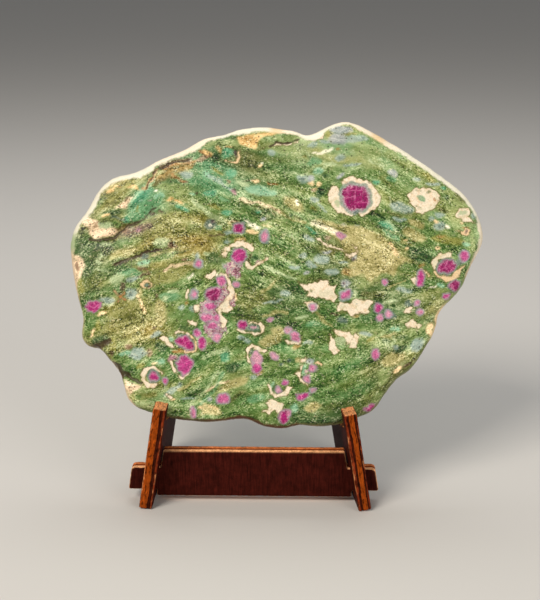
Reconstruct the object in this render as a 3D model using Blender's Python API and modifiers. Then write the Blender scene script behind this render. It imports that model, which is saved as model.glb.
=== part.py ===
"""A polished slab of ruby in zoisite, leaning on a small plywood easel.

Four pieces: the stone slab, two legs and the crossbar whose tenons pass through both legs.
Run with: blender --background --python part.py. Metres, +Z up, the slab's front faces -Y.
Lengths below are in millimetres and angles in degrees.
"""

import math

import bmesh
import bpy
import numpy as np
from mathutils import Matrix, Vector, noise

MM = 0.001
GAP = 0.3  # air left between pieces that touch

# The slab. Its own frame: u across from its middle, v up its face from its foot, n out of its face.
SLAB_THICKNESS = 15.0
SLAB_LEAN = 22.0  # from the vertical, top backwards
SLAB_FOOT = (8.4, 4.6, 32.7)  # the place of u = v = n = 0, from the stand's centre line and front
RIM_RADIUS = 3.6  # how far the polished rim is rounded
RIM_WANDER = 0.7  # how much that radius changes around the slab
CAST_SIZE = 1.5  # grid on which the stone is carved
STONE_TRIANGLES = 7800
SLAB_OUTLINE = [  # (u, v), clockwise from the top peak
    (26.5, 119.0), (31.5, 118.0), (36.5, 115.5), (42.5, 112.0), (49.0, 108.5), (55.0, 104.0),
    (61.0, 100.0), (67.5, 95.0), (73.5, 90.0), (76.5, 85.5), (79.0, 81.0), (80.0, 75.0),
    (79.0, 69.5), (76.0, 64.5), (74.0, 60.0), (72.0, 55.0), (68.0, 50.5), (65.5, 48.0),
    (62.5, 44.5), (62.0, 40.0), (60.5, 36.0), (58.0, 32.0), (53.0, 24.0), (46.5, 19.0),
    (43.5, 15.5), (41.0, 11.5), (36.5, 6.5), (32.0, 4.5), (23.0, 1.5), (15.0, 1.0), (9.5, 1.5),
    (3.5, 0.0), (-5.0, 1.0), (-8.0, 2.5), (-13.0, 4.0), (-18.0, 3.0), (-23.0, 2.5), (-34.5, 3.0),
    (-45.0, 5.0), (-53.5, 7.5), (-56.5, 10.5), (-58.0, 14.0), (-59.5, 19.5), (-64.0, 25.5),
    (-69.0, 31.0), (-71.0, 30.5), (-73.5, 32.0), (-75.0, 34.5), (-74.5, 41.0), (-77.5, 52.0),
    (-79.5, 64.0), (-80.0, 72.0), (-77.5, 79.0), (-74.5, 82.5), (-69.5, 91.5), (-63.0, 97.0),
    (-55.0, 99.0), (-45.5, 104.0), (-35.5, 108.0), (-29.0, 112.0), (-20.0, 114.0), (-14.5, 116.0),
    (-6.0, 117.0), (5.0, 115.5), (8.5, 115.0), (11.0, 113.5), (13.5, 114.0), (20.5, 117.5),
]
# Grooves of the front face: (half width, depth, points along it). The first is the ledge's foot.
GROOVES = [
    (2.2, 1.3, [(-71.1, 72.3), (-61.8, 73.9), (-55.3, 78.2), (-51.0, 80.6), (-46.8, 83.3)]),
    (1.8, 0.7, [(-61.6, 62.7), (-49.7, 67.4), (-40.1, 69.7)]),
    (1.6, 1.2, [(-3.3, 108.8), (1.7, 110.6), (7.4, 110.8), (9.1, 112.0), (11.0, 114.5)]),
    (1.9, 1.5, [(-61.0, 23.0), (-58.7, 20.4), (-53.3, 17.7)]),
]
# Pits of the front face: (u, v, radius, depth).
PITS = [
    (-67.1, 33.8, 2.4, 1.3),
    (51.8, 24.9, 3.2, 0.8),
    (-29.0, 49.5, 2.6, 0.7),
]
# Broad swells (positive) and hollows of the front face: (u, v, radius, height).
SWELLS = [
    (-48.0, 90.0, 16.0, 0.7),
    (28.0, 104.0, 20.0, 0.6),
    (-66.0, 60.0, 14.0, 0.5),
    (-10.0, 62.0, 24.0, -0.5),
    (44.0, 56.0, 20.0, -0.4),
    (6.0, 20.0, 18.0, 0.4),
]

# The stand: 5 mm plywood plates on edge, square cut.
PLY = 5.0
LEG_LEAN_IN = {"left_leg": 9.5, "right_leg": 9.3}  # tops towards each other
LEG_TOE_IN = {"left_leg": 2.5, "right_leg": 8.0}  # backs towards each other
LEG_FOOT_X = {"left_leg": -41.8, "right_leg": 43.4}
LEG_HEIGHT = {"left_leg": 42.8, "right_leg": 41.4}  # up to the lip
LIP_DEPTH = {"left_leg": 8.2, "right_leg": 8.5}
SEAT_V = {"left_leg": 3.4, "right_leg": 1.4}  # where the seat meets the slab's lower edge
SOLE_WEAR = 0.25  # height worn off the arris that the splayed leg stands on
ARM_LENGTH = 57.0  # back arm, from the seat up behind the slab
ARM_WIDTH = 11.0
HEEL_DEPTH = 52.0  # front edge to back edge of a leg at the floor
HEEL_HEIGHT = 19.0
ARCH = (21.0, 36.0, 3.4)  # sole relief: from, to, height
ARRIS = 0.35  # worn edge of the plywood

BAR_FRONT = 7.65  # the crossbar's front face, behind the legs' front edges
BAR_Z = (2.1, 21.4)
TENON_Z = (4.8, 14.3)
SHOULDER_X = (-38.5, 38.95)  # at floor height, if the slanted shoulders ran down that far
TENON_END_X = (-49.9, 49.7)  # the same for the slanted ends
SHOULDER_SLOPE = 0.165
TENON_PLAY = 0.55  # mortise larger than the tenon, on each side

WOOD = (0.19, 0.060, 0.028, 1.0)
STONE = (0.165, 0.26, 0.10, 1.0)


def fresh_scene(name):
    """Empties the scene; gives the collections of the pieces and of the cutters."""
    for old in list(bpy.data.objects):
        bpy.data.objects.remove(old, do_unlink=True)
    pieces = bpy.data.collections.new(name)
    cutters = bpy.data.collections.new(name + "_cutters")
    for group in (pieces, cutters):
        bpy.context.scene.collection.children.link(group)
    return pieces, cutters


def material(name, colour, roughness, coat=0.0):
    made = bpy.data.materials.new(name)
    made.use_nodes = True
    shader = made.node_tree.nodes["Principled BSDF"]
    shader.inputs["Base Color"].default_value = colour
    shader.inputs["Roughness"].default_value = roughness
    shader.inputs["Metallic"].default_value = 0.0
    shader.inputs["Coat Weight"].default_value = coat
    return made


def rounded(corners, steps=4):
    """A closed outline from (x, y, radius) corners, each rounded by a short arc."""
    points = []
    for i, (x, y, radius) in enumerate(corners):
        here = Vector((x, y))
        before = Vector(corners[i - 1][:2]) - here
        after = Vector(corners[(i + 1) % len(corners)][:2]) - here
        if radius == 0:
            points.append(here)
            continue
        half = before.angle(after) / 2
        reach = radius / math.tan(half)
        start = here + before.normalized() * reach
        end = here + after.normalized() * reach
        centre = here + (before.normalized() + after.normalized()).normalized() * radius / math.sin(half)
        for k in range(steps + 1):
            chord = start.lerp(end, k / steps) - centre
            points.append(centre + chord.normalized() * radius)
    return points


def plate(name, outline, thickness, pieces, frame, smooth=False):
    """A flat outline (mm) extruded to both sides of its plane and set in its frame."""
    curve = bpy.data.curves.new(name, "CURVE")
    curve.dimensions = "2D"
    curve.fill_mode = "BOTH"
    curve.extrude = thickness / 2 * MM
    if smooth:
        curve.resolution_u = 4
        spline = curve.splines.new("BEZIER")
        spline.bezier_points.add(len(outline) - 1)
        for point, (x, y) in zip(spline.bezier_points, outline):
            point.co = (x * MM, y * MM, 0)
            point.handle_left_type = point.handle_right_type = "AUTO"
    else:
        spline = curve.splines.new("POLY")
        spline.points.add(len(outline) - 1)
        for point, (x, y) in zip(spline.points, outline):
            point.co = (x * MM, y * MM, 0, 1)
    spline.use_cyclic_u = True
    drawn = bpy.data.objects.new(name + "_outline", curve)
    pieces.objects.link(drawn)
    drawn.matrix_world = frame
    graph = bpy.context.evaluated_depsgraph_get()
    mesh = bpy.data.meshes.new_from_object(drawn.evaluated_get(graph))
    made = bpy.data.objects.new(name, mesh)
    made.matrix_world = drawn.matrix_world
    pieces.objects.link(made)
    bpy.data.objects.remove(drawn, do_unlink=True)
    shape = bmesh.new()
    shape.from_mesh(mesh)
    bmesh.ops.remove_doubles(shape, verts=shape.verts, dist=0.00001)
    bmesh.ops.recalc_face_normals(shape, faces=shape.faces)
    shape.to_mesh(mesh)
    shape.free()
    return made


def evaluated_mesh(obj):
    """The object's mesh with its modifiers applied."""
    graph = bpy.context.evaluated_depsgraph_get()
    return bpy.data.meshes.new_from_object(obj.evaluated_get(graph))


def slab_frame():
    """Columns u, v, n of the leaning slab, at its foot."""
    lean = math.radians(SLAB_LEAN)
    axes = Matrix((
        (1, 0, 0),
        (0, math.sin(lean), -math.cos(lean)),
        (0, math.cos(lean), math.sin(lean)),
    ))
    return Matrix.Translation(Vector(SLAB_FOOT) * MM) @ axes.to_4x4()


def way_in(points, outline):
    """Distance in from the outline and the unit way inwards, for each (u, v) point."""
    start = np.array(outline)
    along = np.roll(start, -1, axis=0) - start
    length = (along ** 2).sum(axis=1)
    inward = np.stack([along[:, 1], -along[:, 0]], axis=1) / np.sqrt(length)[:, None]
    offset = points[:, None, :] - start[None]
    share = np.clip((offset * along).sum(axis=2) / length, 0, 1)
    miss = offset - share[..., None] * along
    nearest = (miss ** 2).sum(axis=2).argmin(axis=1)
    rows = np.arange(len(points))
    return (miss[rows, nearest] * inward[nearest]).sum(axis=1), inward[nearest]


def distance_to_line(points, line):
    """Distance from each (u, v) point to an open line of points."""
    start = np.array(line[:-1])
    along = np.array(line[1:]) - start
    offset = points[:, None, :] - start[None]
    share = np.clip((offset * along).sum(axis=2) / (along ** 2).sum(axis=1), 0, 1)
    miss = offset - share[..., None] * along
    return np.sqrt((miss ** 2).sum(axis=2)).min(axis=1)


def soft_noise(points, size, seed):
    """Smooth noise of about -1 to 1 whose lumps are about size mm wide."""
    return np.array([noise.noise(Vector((u / size, v / size, seed))) for u, v in points])


def front_relief(points):
    """Height of the polished front face, from its swells, layers, grooves and pits."""
    u, v = points.T
    height = 0.45 * soft_noise(points, 26.0, 3.0)
    # The layers run down to the right, and climb in the left part.
    across_layers = v + 0.34 * u - 0.75 * np.logaddexp(0, (-12 - u) / 6.0) * 6.0
    layered = np.stack([u * 0.28, across_layers], axis=1)
    height += 0.28 * soft_noise(layered, 4.2, 8.0)
    for at_u, at_v, radius, rise in SWELLS:
        height += rise * np.exp(-((u - at_u) ** 2 + (v - at_v) ** 2) / radius ** 2)
    for half_width, depth, line in GROOVES:
        height -= depth * np.exp(-(distance_to_line(points, line) / half_width) ** 2)
    for at_u, at_v, radius, depth in PITS:
        height -= depth * np.exp(-((u - at_u) ** 2 + (v - at_v) ** 2) / radius ** 2)
    return height


def make_slab(pieces, finish):
    """The stone: outline, rounded rim, then the relief of both faces."""
    frame = slab_frame() @ Matrix.Translation((0, 0, -SLAB_THICKNESS / 2 * MM))
    blank = plate("slab_blank", SLAB_OUTLINE, SLAB_THICKNESS, pieces, frame, smooth=True)
    rim_points = [vert.co.to_2d() / MM for vert in blank.data.vertices if vert.co.z > 0]
    outline = ordered_rim(blank, len(rim_points))
    remesh = blank.modifiers.new("carving_grid", "REMESH")
    remesh.mode = "VOXEL"
    remesh.voxel_size = CAST_SIZE * MM
    mesh = evaluated_mesh(blank)
    mesh.name = "zoisite_slab"
    bpy.data.objects.remove(blank, do_unlink=True)

    spots = np.empty(len(mesh.vertices) * 3)
    mesh.vertices.foreach_get("co", spots)
    spots = spots.reshape(-1, 3) / MM
    points, height = spots[:, :2].copy(), spots[:, 2].copy()
    depth_in, inward = way_in(points, outline)
    radius = RIM_RADIUS + RIM_WANDER * soft_noise(points, 17.0, 5.0)
    half = SLAB_THICKNESS / 2
    off_rim = np.clip(radius - depth_in, 0, None)
    off_face = np.clip(np.abs(height) - (half - radius), 0, None)
    corner = np.hypot(off_rim, off_face)
    keep = np.where(corner > 0, np.maximum(off_rim, off_face) / np.maximum(corner, 1e-6), 1.0)
    points += inward * (off_rim * (1 - keep))[:, None]
    height = np.sign(height) * (np.abs(height) - off_face * (1 - keep))

    # Both faces carry relief; it fades out over the rim, and the side wall is a little uneven.
    face = np.clip((np.abs(height) - (half - radius)) / radius, 0, 1) ** 2
    front = height > 0
    back_relief = 0.5 * soft_noise(points, 19.0, 11.0) - 0.5
    height += face * np.where(front, front_relief(points) - 0.6, -back_relief)
    uneven = 0.35 * soft_noise(spots[:, :2], 7.0, 14.0) + 0.25 * np.sin(height / 2.4)
    points += inward * ((1 - face) * (uneven - 0.3))[:, None]

    spots = np.column_stack([points, height]) * MM
    mesh.vertices.foreach_set("co", spots.ravel())
    mesh.update()
    slab = bpy.data.objects.new("zoisite_slab", mesh)
    slab.matrix_world = frame
    pieces.objects.link(slab)
    reduce = slab.modifiers.new("fewer_faces", "DECIMATE")
    reduce.ratio = STONE_TRIANGLES / (2 * len(mesh.polygons))
    reduce.use_collapse_triangulate = True
    slab.data.shade_smooth()
    slab.data.materials.append(finish)
    return slab


def ordered_rim(blank, count):
    """The blank's outline in order, clockwise, walked along the edges of its front cap."""
    shape = bmesh.new()
    shape.from_mesh(blank.data)
    rim = [e for e in shape.edges if all(v.co.z > 0 for v in e.verts)]
    rim = [e for e in rim if any(abs(f.normal.z) < 0.5 for f in e.link_faces)]
    links = {}
    for edge in rim:
        a, b = edge.verts
        links.setdefault(a, []).append(b)
        links.setdefault(b, []).append(a)
    start = max(links, key=lambda vert: vert.co.y)
    here = max(links[start], key=lambda vert: vert.co.x)
    walked = [start]
    while here is not start and len(walked) <= count:
        last, walked = walked[-1], walked + [here]
        here = next(vert for vert in links[here] if vert is not last)
    line = [tuple(vert.co.to_2d() / MM) for vert in walked]
    shape.free()
    return line


def leg_frame(name):
    """The leg plate's frame in mm: x through its thickness, y back, z up the leaning plate."""
    side = 1 if name == "left_leg" else -1
    toe = Matrix.Rotation(-side * math.radians(LEG_TOE_IN[name]), 4, "Z")
    lean = Matrix.Rotation(side * math.radians(LEG_LEAN_IN[name]), 4, "Y")
    turn = toe @ lean
    lowest = -PLY / 2 * math.sin(math.radians(LEG_LEAN_IN[name]))
    place = Matrix.Translation((LEG_FOOT_X[name], 0, -lowest - SOLE_WEAR))
    return place @ turn


def in_leg_plane(frame, y, z):
    """(back, up) in the leg plate's middle plane of a point given by its real y and z."""
    back, up, at = frame.col[1], frame.col[2], frame.translation
    rise = Matrix(((back.y, up.y), (back.z, up.z)))
    found = rise.inverted() @ Vector((y - at.y, z - at.z))
    return found.x, found.y


def leg_profile(name, frame):
    """Side outline of a leg: lip, seat square to the slab, back arm, heel and sole."""
    lean = math.radians(SLAB_LEAN)
    up = Vector((math.sin(lean), math.cos(lean)))
    back = Vector((math.cos(lean), -math.sin(lean)))
    _, foot_y, foot_z = SLAB_FOOT
    seat_start = Vector((foot_y, foot_z)) + up * SEAT_V[name] - back * (GAP + 0.1)
    seat_end = seat_start + back * (SLAB_THICKNESS + 2 * GAP + 0.1)
    arm_top = seat_end + up * ARM_LENGTH
    arm_back = arm_top + back * ARM_WIDTH
    arm_root = seat_end + back * ARM_WIDTH + up * 2.0
    places = [in_leg_plane(frame, *spot) for spot in (seat_start, seat_end, arm_top, arm_back, arm_root)]
    seat_start, seat_end, arm_top, arm_back, arm_root = places
    lip_top = LEG_HEIGHT[name]
    lip_run = (lip_top - seat_start[1]) * math.tan(lean)
    lip_depth = min(LIP_DEPTH[name], seat_start[0] + lip_run)
    from_y, to_y, arch_height = ARCH
    return rounded([
        (0, 0, 0.8),
        (0, lip_top, 0.6),
        (lip_depth, lip_top, 0.7),
        (*seat_start, 1.0),
        (*seat_end, 1.2),
        (*arm_top, 4.0),
        (*arm_back, 4.0),
        (*arm_root, 14.0),
        (HEEL_DEPTH, HEEL_HEIGHT, 7.0),
        (HEEL_DEPTH, 0, 1.5),
        (to_y, 0, 1.2),
        (to_y - 2.0, arch_height, 2.0),
        (from_y + 2.0, arch_height, 2.0),
        (from_y, 0, 1.2),
    ])


def cutter(name, size, frame, cutters):
    """A box (mm) for cutting, hidden from the finished part."""
    bpy.ops.mesh.primitive_cube_add(size=1)
    box = bpy.context.active_object
    box.name = name
    box.data.transform(Matrix.Diagonal((*(Vector(size) * MM), 1)))
    box.matrix_world = frame
    for group in list(box.users_collection):
        group.objects.unlink(box)
    cutters.objects.link(box)
    box.hide_render = True
    box.display_type = "WIRE"
    return box


def cut(piece, tool):
    boolean = piece.modifiers.new(tool.name, "BOOLEAN")
    boolean.operation = "DIFFERENCE"
    boolean.solver = "EXACT"
    boolean.object = tool


def wear_edges(piece):
    bevel = piece.modifiers.new("worn_arris", "BEVEL")
    bevel.width = ARRIS * MM
    bevel.segments = 1
    bevel.limit_method = "ANGLE"
    bevel.angle_limit = math.radians(50)


def make_leg(name, pieces, cutters, finish):
    frame = leg_frame(name)
    in_metres = Matrix.Translation(frame.translation * MM) @ frame.to_3x3().to_4x4()
    side_on = Matrix(((0, 0, 1, 0), (1, 0, 0, 0), (0, 1, 0, 0), (0, 0, 0, 1)))
    leg = plate(name, leg_profile(name, frame), PLY, pieces, in_metres @ side_on)
    wear_edges(leg)
    middle = in_leg_plane(frame, BAR_FRONT + PLY / 2, sum(TENON_Z) / 2)
    slot_size = (3 * PLY, PLY + 2 * TENON_PLAY + 0.5, TENON_Z[1] - TENON_Z[0] + 2 * TENON_PLAY + 0.5)
    slot_place = in_metres @ Matrix.Translation(Vector((0, *middle)) * MM)
    cut(leg, cutter(name + "_mortise", slot_size, slot_place, cutters))
    floor_place = Matrix.Translation(Vector((0, 25, -10)) * MM)
    cut(leg, cutter(name + "_floor", (160, 120, 20), floor_place, cutters))
    leg.data.materials.append(finish)
    return leg


def make_crossbar(pieces, finish):
    """The board: slanted shoulders and two tenons that lean as the legs do."""
    def at(line_x, z, slope):
        return (line_x - math.copysign(slope * z, line_x), z)

    bottom, top = BAR_Z
    tenon_low, tenon_high = TENON_Z
    right_shoulder, right_end = SHOULDER_X[1], TENON_END_X[1]
    left_shoulder, left_end = SHOULDER_X[0], TENON_END_X[0]
    corners = [
        (*at(left_shoulder, bottom, SHOULDER_SLOPE), 0.5),
        (*at(left_shoulder, tenon_low, SHOULDER_SLOPE), 0.3),
        (*at(left_end, tenon_low, SHOULDER_SLOPE), 0.7),
        (*at(left_end, tenon_high, SHOULDER_SLOPE), 1.4),
        (*at(left_shoulder, tenon_high, SHOULDER_SLOPE), 0.3),
        (*at(left_shoulder, top, SHOULDER_SLOPE), 0.5),
        (*at(right_shoulder, top, SHOULDER_SLOPE), 0.5),
        (*at(right_shoulder, tenon_high, SHOULDER_SLOPE), 0.3),
        (*at(right_end, tenon_high, SHOULDER_SLOPE), 1.4),
        (*at(right_end, tenon_low, SHOULDER_SLOPE), 0.7),
        (*at(right_shoulder, tenon_low, SHOULDER_SLOPE), 0.3),
        (*at(right_shoulder, bottom, SHOULDER_SLOPE), 0.5),
    ]
    upright = Matrix(((1, 0, 0, 0), (0, 0, -1, 0), (0, 1, 0, 0), (0, 0, 0, 1)))
    place = Matrix.Translation((0, (BAR_FRONT + PLY / 2) * MM, 0)) @ upright
    bar = plate("crossbar", rounded(corners, steps=3), PLY, pieces, place)
    wear_edges(bar)
    bar.data.materials.append(finish)
    return bar


def stand_on_origin(pieces):
    """Moves everything so that the origin is below the middle of the whole object."""
    graph = bpy.context.evaluated_depsgraph_get()
    corners = []
    for piece in pieces.objects:
        ready = piece.evaluated_get(graph)
        corners += [ready.matrix_world @ vert.co for vert in ready.data.vertices]
    spots = np.array(corners)
    middle = (spots.min(axis=0) + spots.max(axis=0)) / 2
    shift = Matrix.Translation((-middle[0], -middle[1], -spots[:, 2].min()))
    for thing in bpy.data.objects:
        thing.matrix_world = shift @ thing.matrix_world
    print("moved by (mm)", [round(float(v) / MM, 3) for v in shift.translation])


def build():
    pieces, cutters = fresh_scene("ruby_in_zoisite")
    stone = material("polished_zoisite", STONE, 0.35, coat=0.3)
    ply = material("stained_plywood", WOOD, 0.5)
    make_slab(pieces, stone)
    for name in LEG_HEIGHT:
        make_leg(name, pieces, cutters, ply)
    make_crossbar(pieces, ply)
    stand_on_origin(pieces)


build()
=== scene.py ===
import math

import bmesh
import bpy
import numpy as np
from mathutils import Matrix, Vector


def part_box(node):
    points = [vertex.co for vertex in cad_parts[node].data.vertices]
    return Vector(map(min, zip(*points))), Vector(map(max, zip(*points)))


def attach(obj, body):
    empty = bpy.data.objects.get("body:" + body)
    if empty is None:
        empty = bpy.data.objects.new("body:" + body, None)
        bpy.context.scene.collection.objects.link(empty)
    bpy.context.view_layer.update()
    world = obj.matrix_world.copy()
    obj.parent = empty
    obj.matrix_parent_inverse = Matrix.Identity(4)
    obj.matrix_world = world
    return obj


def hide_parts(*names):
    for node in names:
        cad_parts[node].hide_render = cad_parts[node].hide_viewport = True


# Looks of a polished slab of ruby in zoisite that leans on a small stained plywood easel.
# Lengths are in millimetres and angles in degrees unless a name says otherwise.

MM = 0.001  # one millimetre in metres

# ---------------------------------------------------------------- view

VIEW_TARGET = (-2.26, -0.19, 75.85)
VIEW_AZIMUTH = 1.36
VIEW_ELEVATION = 18.29
VIEW_DISTANCE = 448.7
VIEW_ROLL = -0.14
VIEW_LENS = 69.0

# ---------------------------------------------------------------- stone: where things lie
# The slab's own frame: u across from its middle, v up its face from its foot, n out of its face.

SLAB_LEAN = 22.0  # from the vertical, top backwards
SLAB_FOOT = (0.03, -25.59, 32.7)  # where u = v = n = 0 is, from the object's own origin
RECAST = 1.05  # grid on which the stone's mesh is laid anew, halved over the front
FINE_DEPTH = 3.0  # how far behind the face that finer mesh reaches
FRONT_FADE = (-9.0, -5.0)  # n over which the pattern of the front comes in
BACK_FADE = (-13.5, -11.0)  # n over which the pattern of the sawn back goes out
RIND_START = (2.6, 6.0)  # depth behind the face over which the weathered rind of the sides comes in
FAR = 9.0  # a gap that counts as nowhere near
# How far the surface stands out or in: harder layers, broad lumps, rubies, and pits and hollows of the sides.
LAYER_RISE, LUMP_RISE, RUBY_RISE, PIT_DEPTH, HOLLOW_DEPTH = 0.2, 0.05, 0.10, 0.45, 0.3
BOX_MARGIN = 0.01  # the stone stops this far inside its own box
SLAB_OUTLINE = [  # (u, v), clockwise from the top peak
    (26.5, 119.0), (31.5, 118.0), (36.5, 115.5), (42.5, 112.0), (49.0, 108.5), (55.0, 104.0),
    (61.0, 100.0), (67.5, 95.0), (73.5, 90.0), (76.5, 85.5), (79.0, 81.0), (80.0, 75.0),
    (79.0, 69.5), (76.0, 64.5), (74.0, 60.0), (72.0, 55.0), (68.0, 50.5), (65.5, 48.0),
    (62.5, 44.5), (62.0, 40.0), (60.5, 36.0), (58.0, 32.0), (53.0, 24.0), (46.5, 19.0),
    (43.5, 15.5), (41.0, 11.5), (36.5, 6.5), (32.0, 4.5), (23.0, 1.5), (15.0, 1.0), (9.5, 1.5),
    (3.5, 0.0), (-5.0, 1.0), (-8.0, 2.5), (-13.0, 4.0), (-18.0, 3.0), (-23.0, 2.5), (-34.5, 3.0),
    (-45.0, 5.0), (-53.5, 7.5), (-56.5, 10.5), (-58.0, 14.0), (-59.5, 19.5), (-64.0, 25.5),
    (-69.0, 31.0), (-71.0, 30.5), (-73.5, 32.0), (-75.0, 34.5), (-74.5, 41.0), (-77.5, 52.0),
    (-79.5, 64.0), (-80.0, 72.0), (-77.5, 79.0), (-74.5, 82.5), (-69.5, 91.5), (-63.0, 97.0),
    (-55.0, 99.0), (-45.5, 104.0), (-35.5, 108.0), (-29.0, 112.0), (-20.0, 114.0), (-14.5, 116.0),
    (-6.0, 117.0), (5.0, 115.5), (8.5, 115.0), (11.0, 113.5), (13.5, 114.0), (20.5, 117.5),
]

# Tints of the stone.
TINTS = {
    # ground and the minerals in it, and the painted shade at the foot of the rim
    "straw": "#CBC18C", "bronze": "#7C763F", "celadon": "#A0B888", "deep": "#4F7036",
    "green": "#688A46", "sage": "#8EA062", "pale": "#AFC092",
    "olive": "#90914E", "tan": "#B4AB72", "lime": "#97974A", "moss": "#6B7438",
    "pine": "#3F6638", "jade": "#6DA070", "teal": "#5AA47C", "mint": "#93C2A0",
    "mist": "#9BAFA4", "slate": "#647A70", "lilac": "#A3A9AC", "plum": "#5A3A45",
    "rose": "#C792A2", "ochre": "#AE8E4E", "copper": "#AE7434", "rust": "#94745A",
    "bark": "#5E4228", "cream": "#FFF0D6", "peach": "#F8D8A8", "blush": "#EBCFAE",
    "amber": "#E6BE80", "white": "#F8F2DC", "shaded_foot_maroon": "#5A2A18",
    # single grains of the ground, and the dark of the seams, partly stain and partly painted shade
    "lit": "#DEE2B4", "worm": "#EBDDB0", "pepper": "#36361B", "fleck": "#D8E2B8", "seam": "#40301C",
    # feldspar: its dark outline, its toned edge and two stains in it
    "outline": "#6E6434", "toned_edge": "#D9B98A", "honey": "#EBCBA0", "lichen": "#C6CBA0",
    # ruby: its bleed into the rock, soft edge, crystals, fractures and the grains of its grey rim
    "bleed": "#B98CAA", "pink_edge": "#D68CAA", "grey_crystal": "#B7A0B8", "fracture": "#DC78AC",
    "lilac_grain": "#B4AEC0", "green_grain": "#5E8C74",
    # weathered rind of the sides: two blotches and the brown in its pits
    "drab": "#8A8F5E", "fawn": "#B8976A", "pit": "#6A5236",
}

RUBY_TONES = ["#CCA8B0", "#CE88A2", "#BC4088", "#A20A66", "#760A4A"]  # palest to deepest
ROSY_TONES = [  # pink, lilac and grey grains mixed: (place on the ramp, colour)
    (0.30, "#6E3350"), (0.42, "#B76A8B"), (0.50, "#C79AA8"), (0.58, "#9C9AA0"), (0.68, "#E6C9BE"),
]

# Broad ground tints of the front: (u, v, half across, half up, turn, tint).
GROUND = [
    (28, 108, 22, 7, -12, "sage"), (30, 105, 14, 5, -14, "celadon"), (12, 107, 10, 6, 0, "celadon"),
    (5, 98, 14, 8, -15, "green"), (14, 101, 8, 3, -10, "celadon"),
    (55, 95, 14, 8, -35, "sage"), (45, 96, 10, 5, -25, "green"), (70, 82, 8, 12, 20, "sage"),
    (50, 74, 16, 5, -20, "green"), (64, 73, 9, 6, -15, "green"), (22, 98, 8, 6, 0, "green"),
    (8, 84, 14, 6, -25, "sage"), (-8, 98, 10, 6, -15, "moss"), (-25, 95, 14, 6, -15, "jade"),
    (-40, 98, 8, 4, 15, "moss"), (-25, 84, 16, 6, -22, "green"), (-42, 88, 8, 6, 10, "sage"),
    (-60, 92, 10, 5, 30, "olive"), (-66, 84, 8, 5, 30, "olive"), (-50, 87, 7, 5, 40, "teal"),
    (-42, 76, 14, 8, 5, "olive"), (-30, 76, 9, 6, -20, "olive"), (-56, 70, 10, 5, 25, "olive"),
    (-66, 68, 8, 8, 40, "deep"), (-74, 58, 5, 12, 0, "deep"), (-58, 60, 12, 5, 20, "sage"),
    (-45, 62, 10, 5, 15, "olive"), (-72, 44, 5, 6, 0, "green"), (-60, 42, 10, 7, 20, "olive"),
    (-50, 38, 10, 8, 20, "olive"), (-40, 50, 8, 8, 0, "green"), (-36, 42, 7, 6, 0, "green"),
    (-52, 54, 7, 5, 20, "green"), (23, 62, 6, 4, -10, "deep"), (44, 77, 8, 3, -25, "deep"),
    (-56, 75, 6, 2, 20, "rust"), (-46, 26, 9, 6, 25, "green"), (-30, 24, 8, 10, 0, "green"),
    (-47, 12, 8, 4, 10, "sage"), (-20, 16, 10, 7, 15, "sage"), (-15, 8, 12, 5, 0, "green"),
    (-10, 58, 9, 8, -20, "green"), (0, 66, 12, 7, -20, "green"), (8, 74, 10, 5, -25, "green"),
    (20, 68, 10, 6, -15, "moss"), (36, 68, 10, 6, -15, "olive"), (46, 66, 8, 5, -20, "tan"),
    (0, 48, 12, 8, -10, "deep"), (-8, 50, 6, 6, 0, "olive"), (16, 44, 10, 5, 0, "green"),
    (54, 60, 12, 5, -20, "green"), (50, 46, 12, 6, 0, "deep"), (60, 48, 6, 6, 0, "olive"),
    (40, 36, 12, 6, 10, "sage"), (54, 34, 6, 8, 30, "sage"), (10, 30, 12, 7, 0, "green"),
    (-16, 34, 8, 7, 20, "green"), (-5, 12, 10, 6, 0, "green"), (25, 18, 12, 9, 0, "green"),
    (42, 20, 8, 8, 40, "moss"), (20, 5, 14, 4, 0, "deep"), (30, 8, 8, 5, 0, "moss"),
]

# Lay of the layers: (u, v, angle above +u).
LAY = [
    (20, 112, -8), (35, 112, -22), (45, 106, -28), (60, 95, -36), (70, 86, -50), (76, 74, -80),
    (0, 107, -6), (8, 100, -12), (-10, 97, -18), (0, 90, -20), (14, 96, -18), (10, 86, -26),
    (20, 79, -25), (24, 98, 10), (32, 101, -8), (43, 94, -50), (31, 78, -16), (46, 83, -24),
    (56, 78, -20), (62, 70, -22), (40, 73, -20), (50, 67, -24), (30, 66, -18), (14, 71, -28),
    (4, 77, -33), (-6, 83, -30), (-16, 86, -24), (-26, 90, -18), (-32, 97, -4), (-38, 93, 6),
    (-20, 105, -6), (-46, 97, 52), (-60, 92, 34), (-70, 85, 42), (-55, 86, 45), (-66, 78, 14),
    (-48, 87, 50), (-60, 75, 20), (-52, 77, 35), (-45, 81, 10), (-38, 80, -12), (-30, 82, -22),
    (-45, 74, 16), (-38, 74, 0), (-30, 75, -16), (-55, 66, 22), (-45, 69, 15), (-35, 66, 10),
    (-66, 62, 28), (-71, 68, 52), (-77, 58, 78), (-60, 55, 24), (-50, 58, 20), (-40, 58, 20),
    (-70, 50, 32), (-60, 45, 16), (-50, 42, 24), (-42, 48, 32), (-65, 37, 10), (-55, 30, 24),
    (-45, 35, 30), (-20, 73, -30), (-10, 68, -34), (0, 65, -25), (-27, 60, 30), (-10, 55, -26),
    (0, 55, -22), (10, 62, -14), (5, 45, -10), (15, 50, -6), (25, 60, -8), (40, 60, -6),
    (50, 52, 0), (60, 50, 10), (50, 44, 6), (40, 38, 8), (30, 42, 0), (10, 35, 5), (0, 33, -14),
    (-12, 33, 10), (-10, 45, -10), (-20, 28, 35), (-30, 20, 30), (-45, 10, 10), (-35, 12, 24),
    (-20, 15, 20), (-10, 12, 15), (0, 20, 14), (8, 10, 8), (20, 12, 10), (30, 20, 20),
    (45, 25, 32), (55, 32, 42), (40, 12, 40), (-25, 45, 60), (-31, 38, 60),
]

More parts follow.
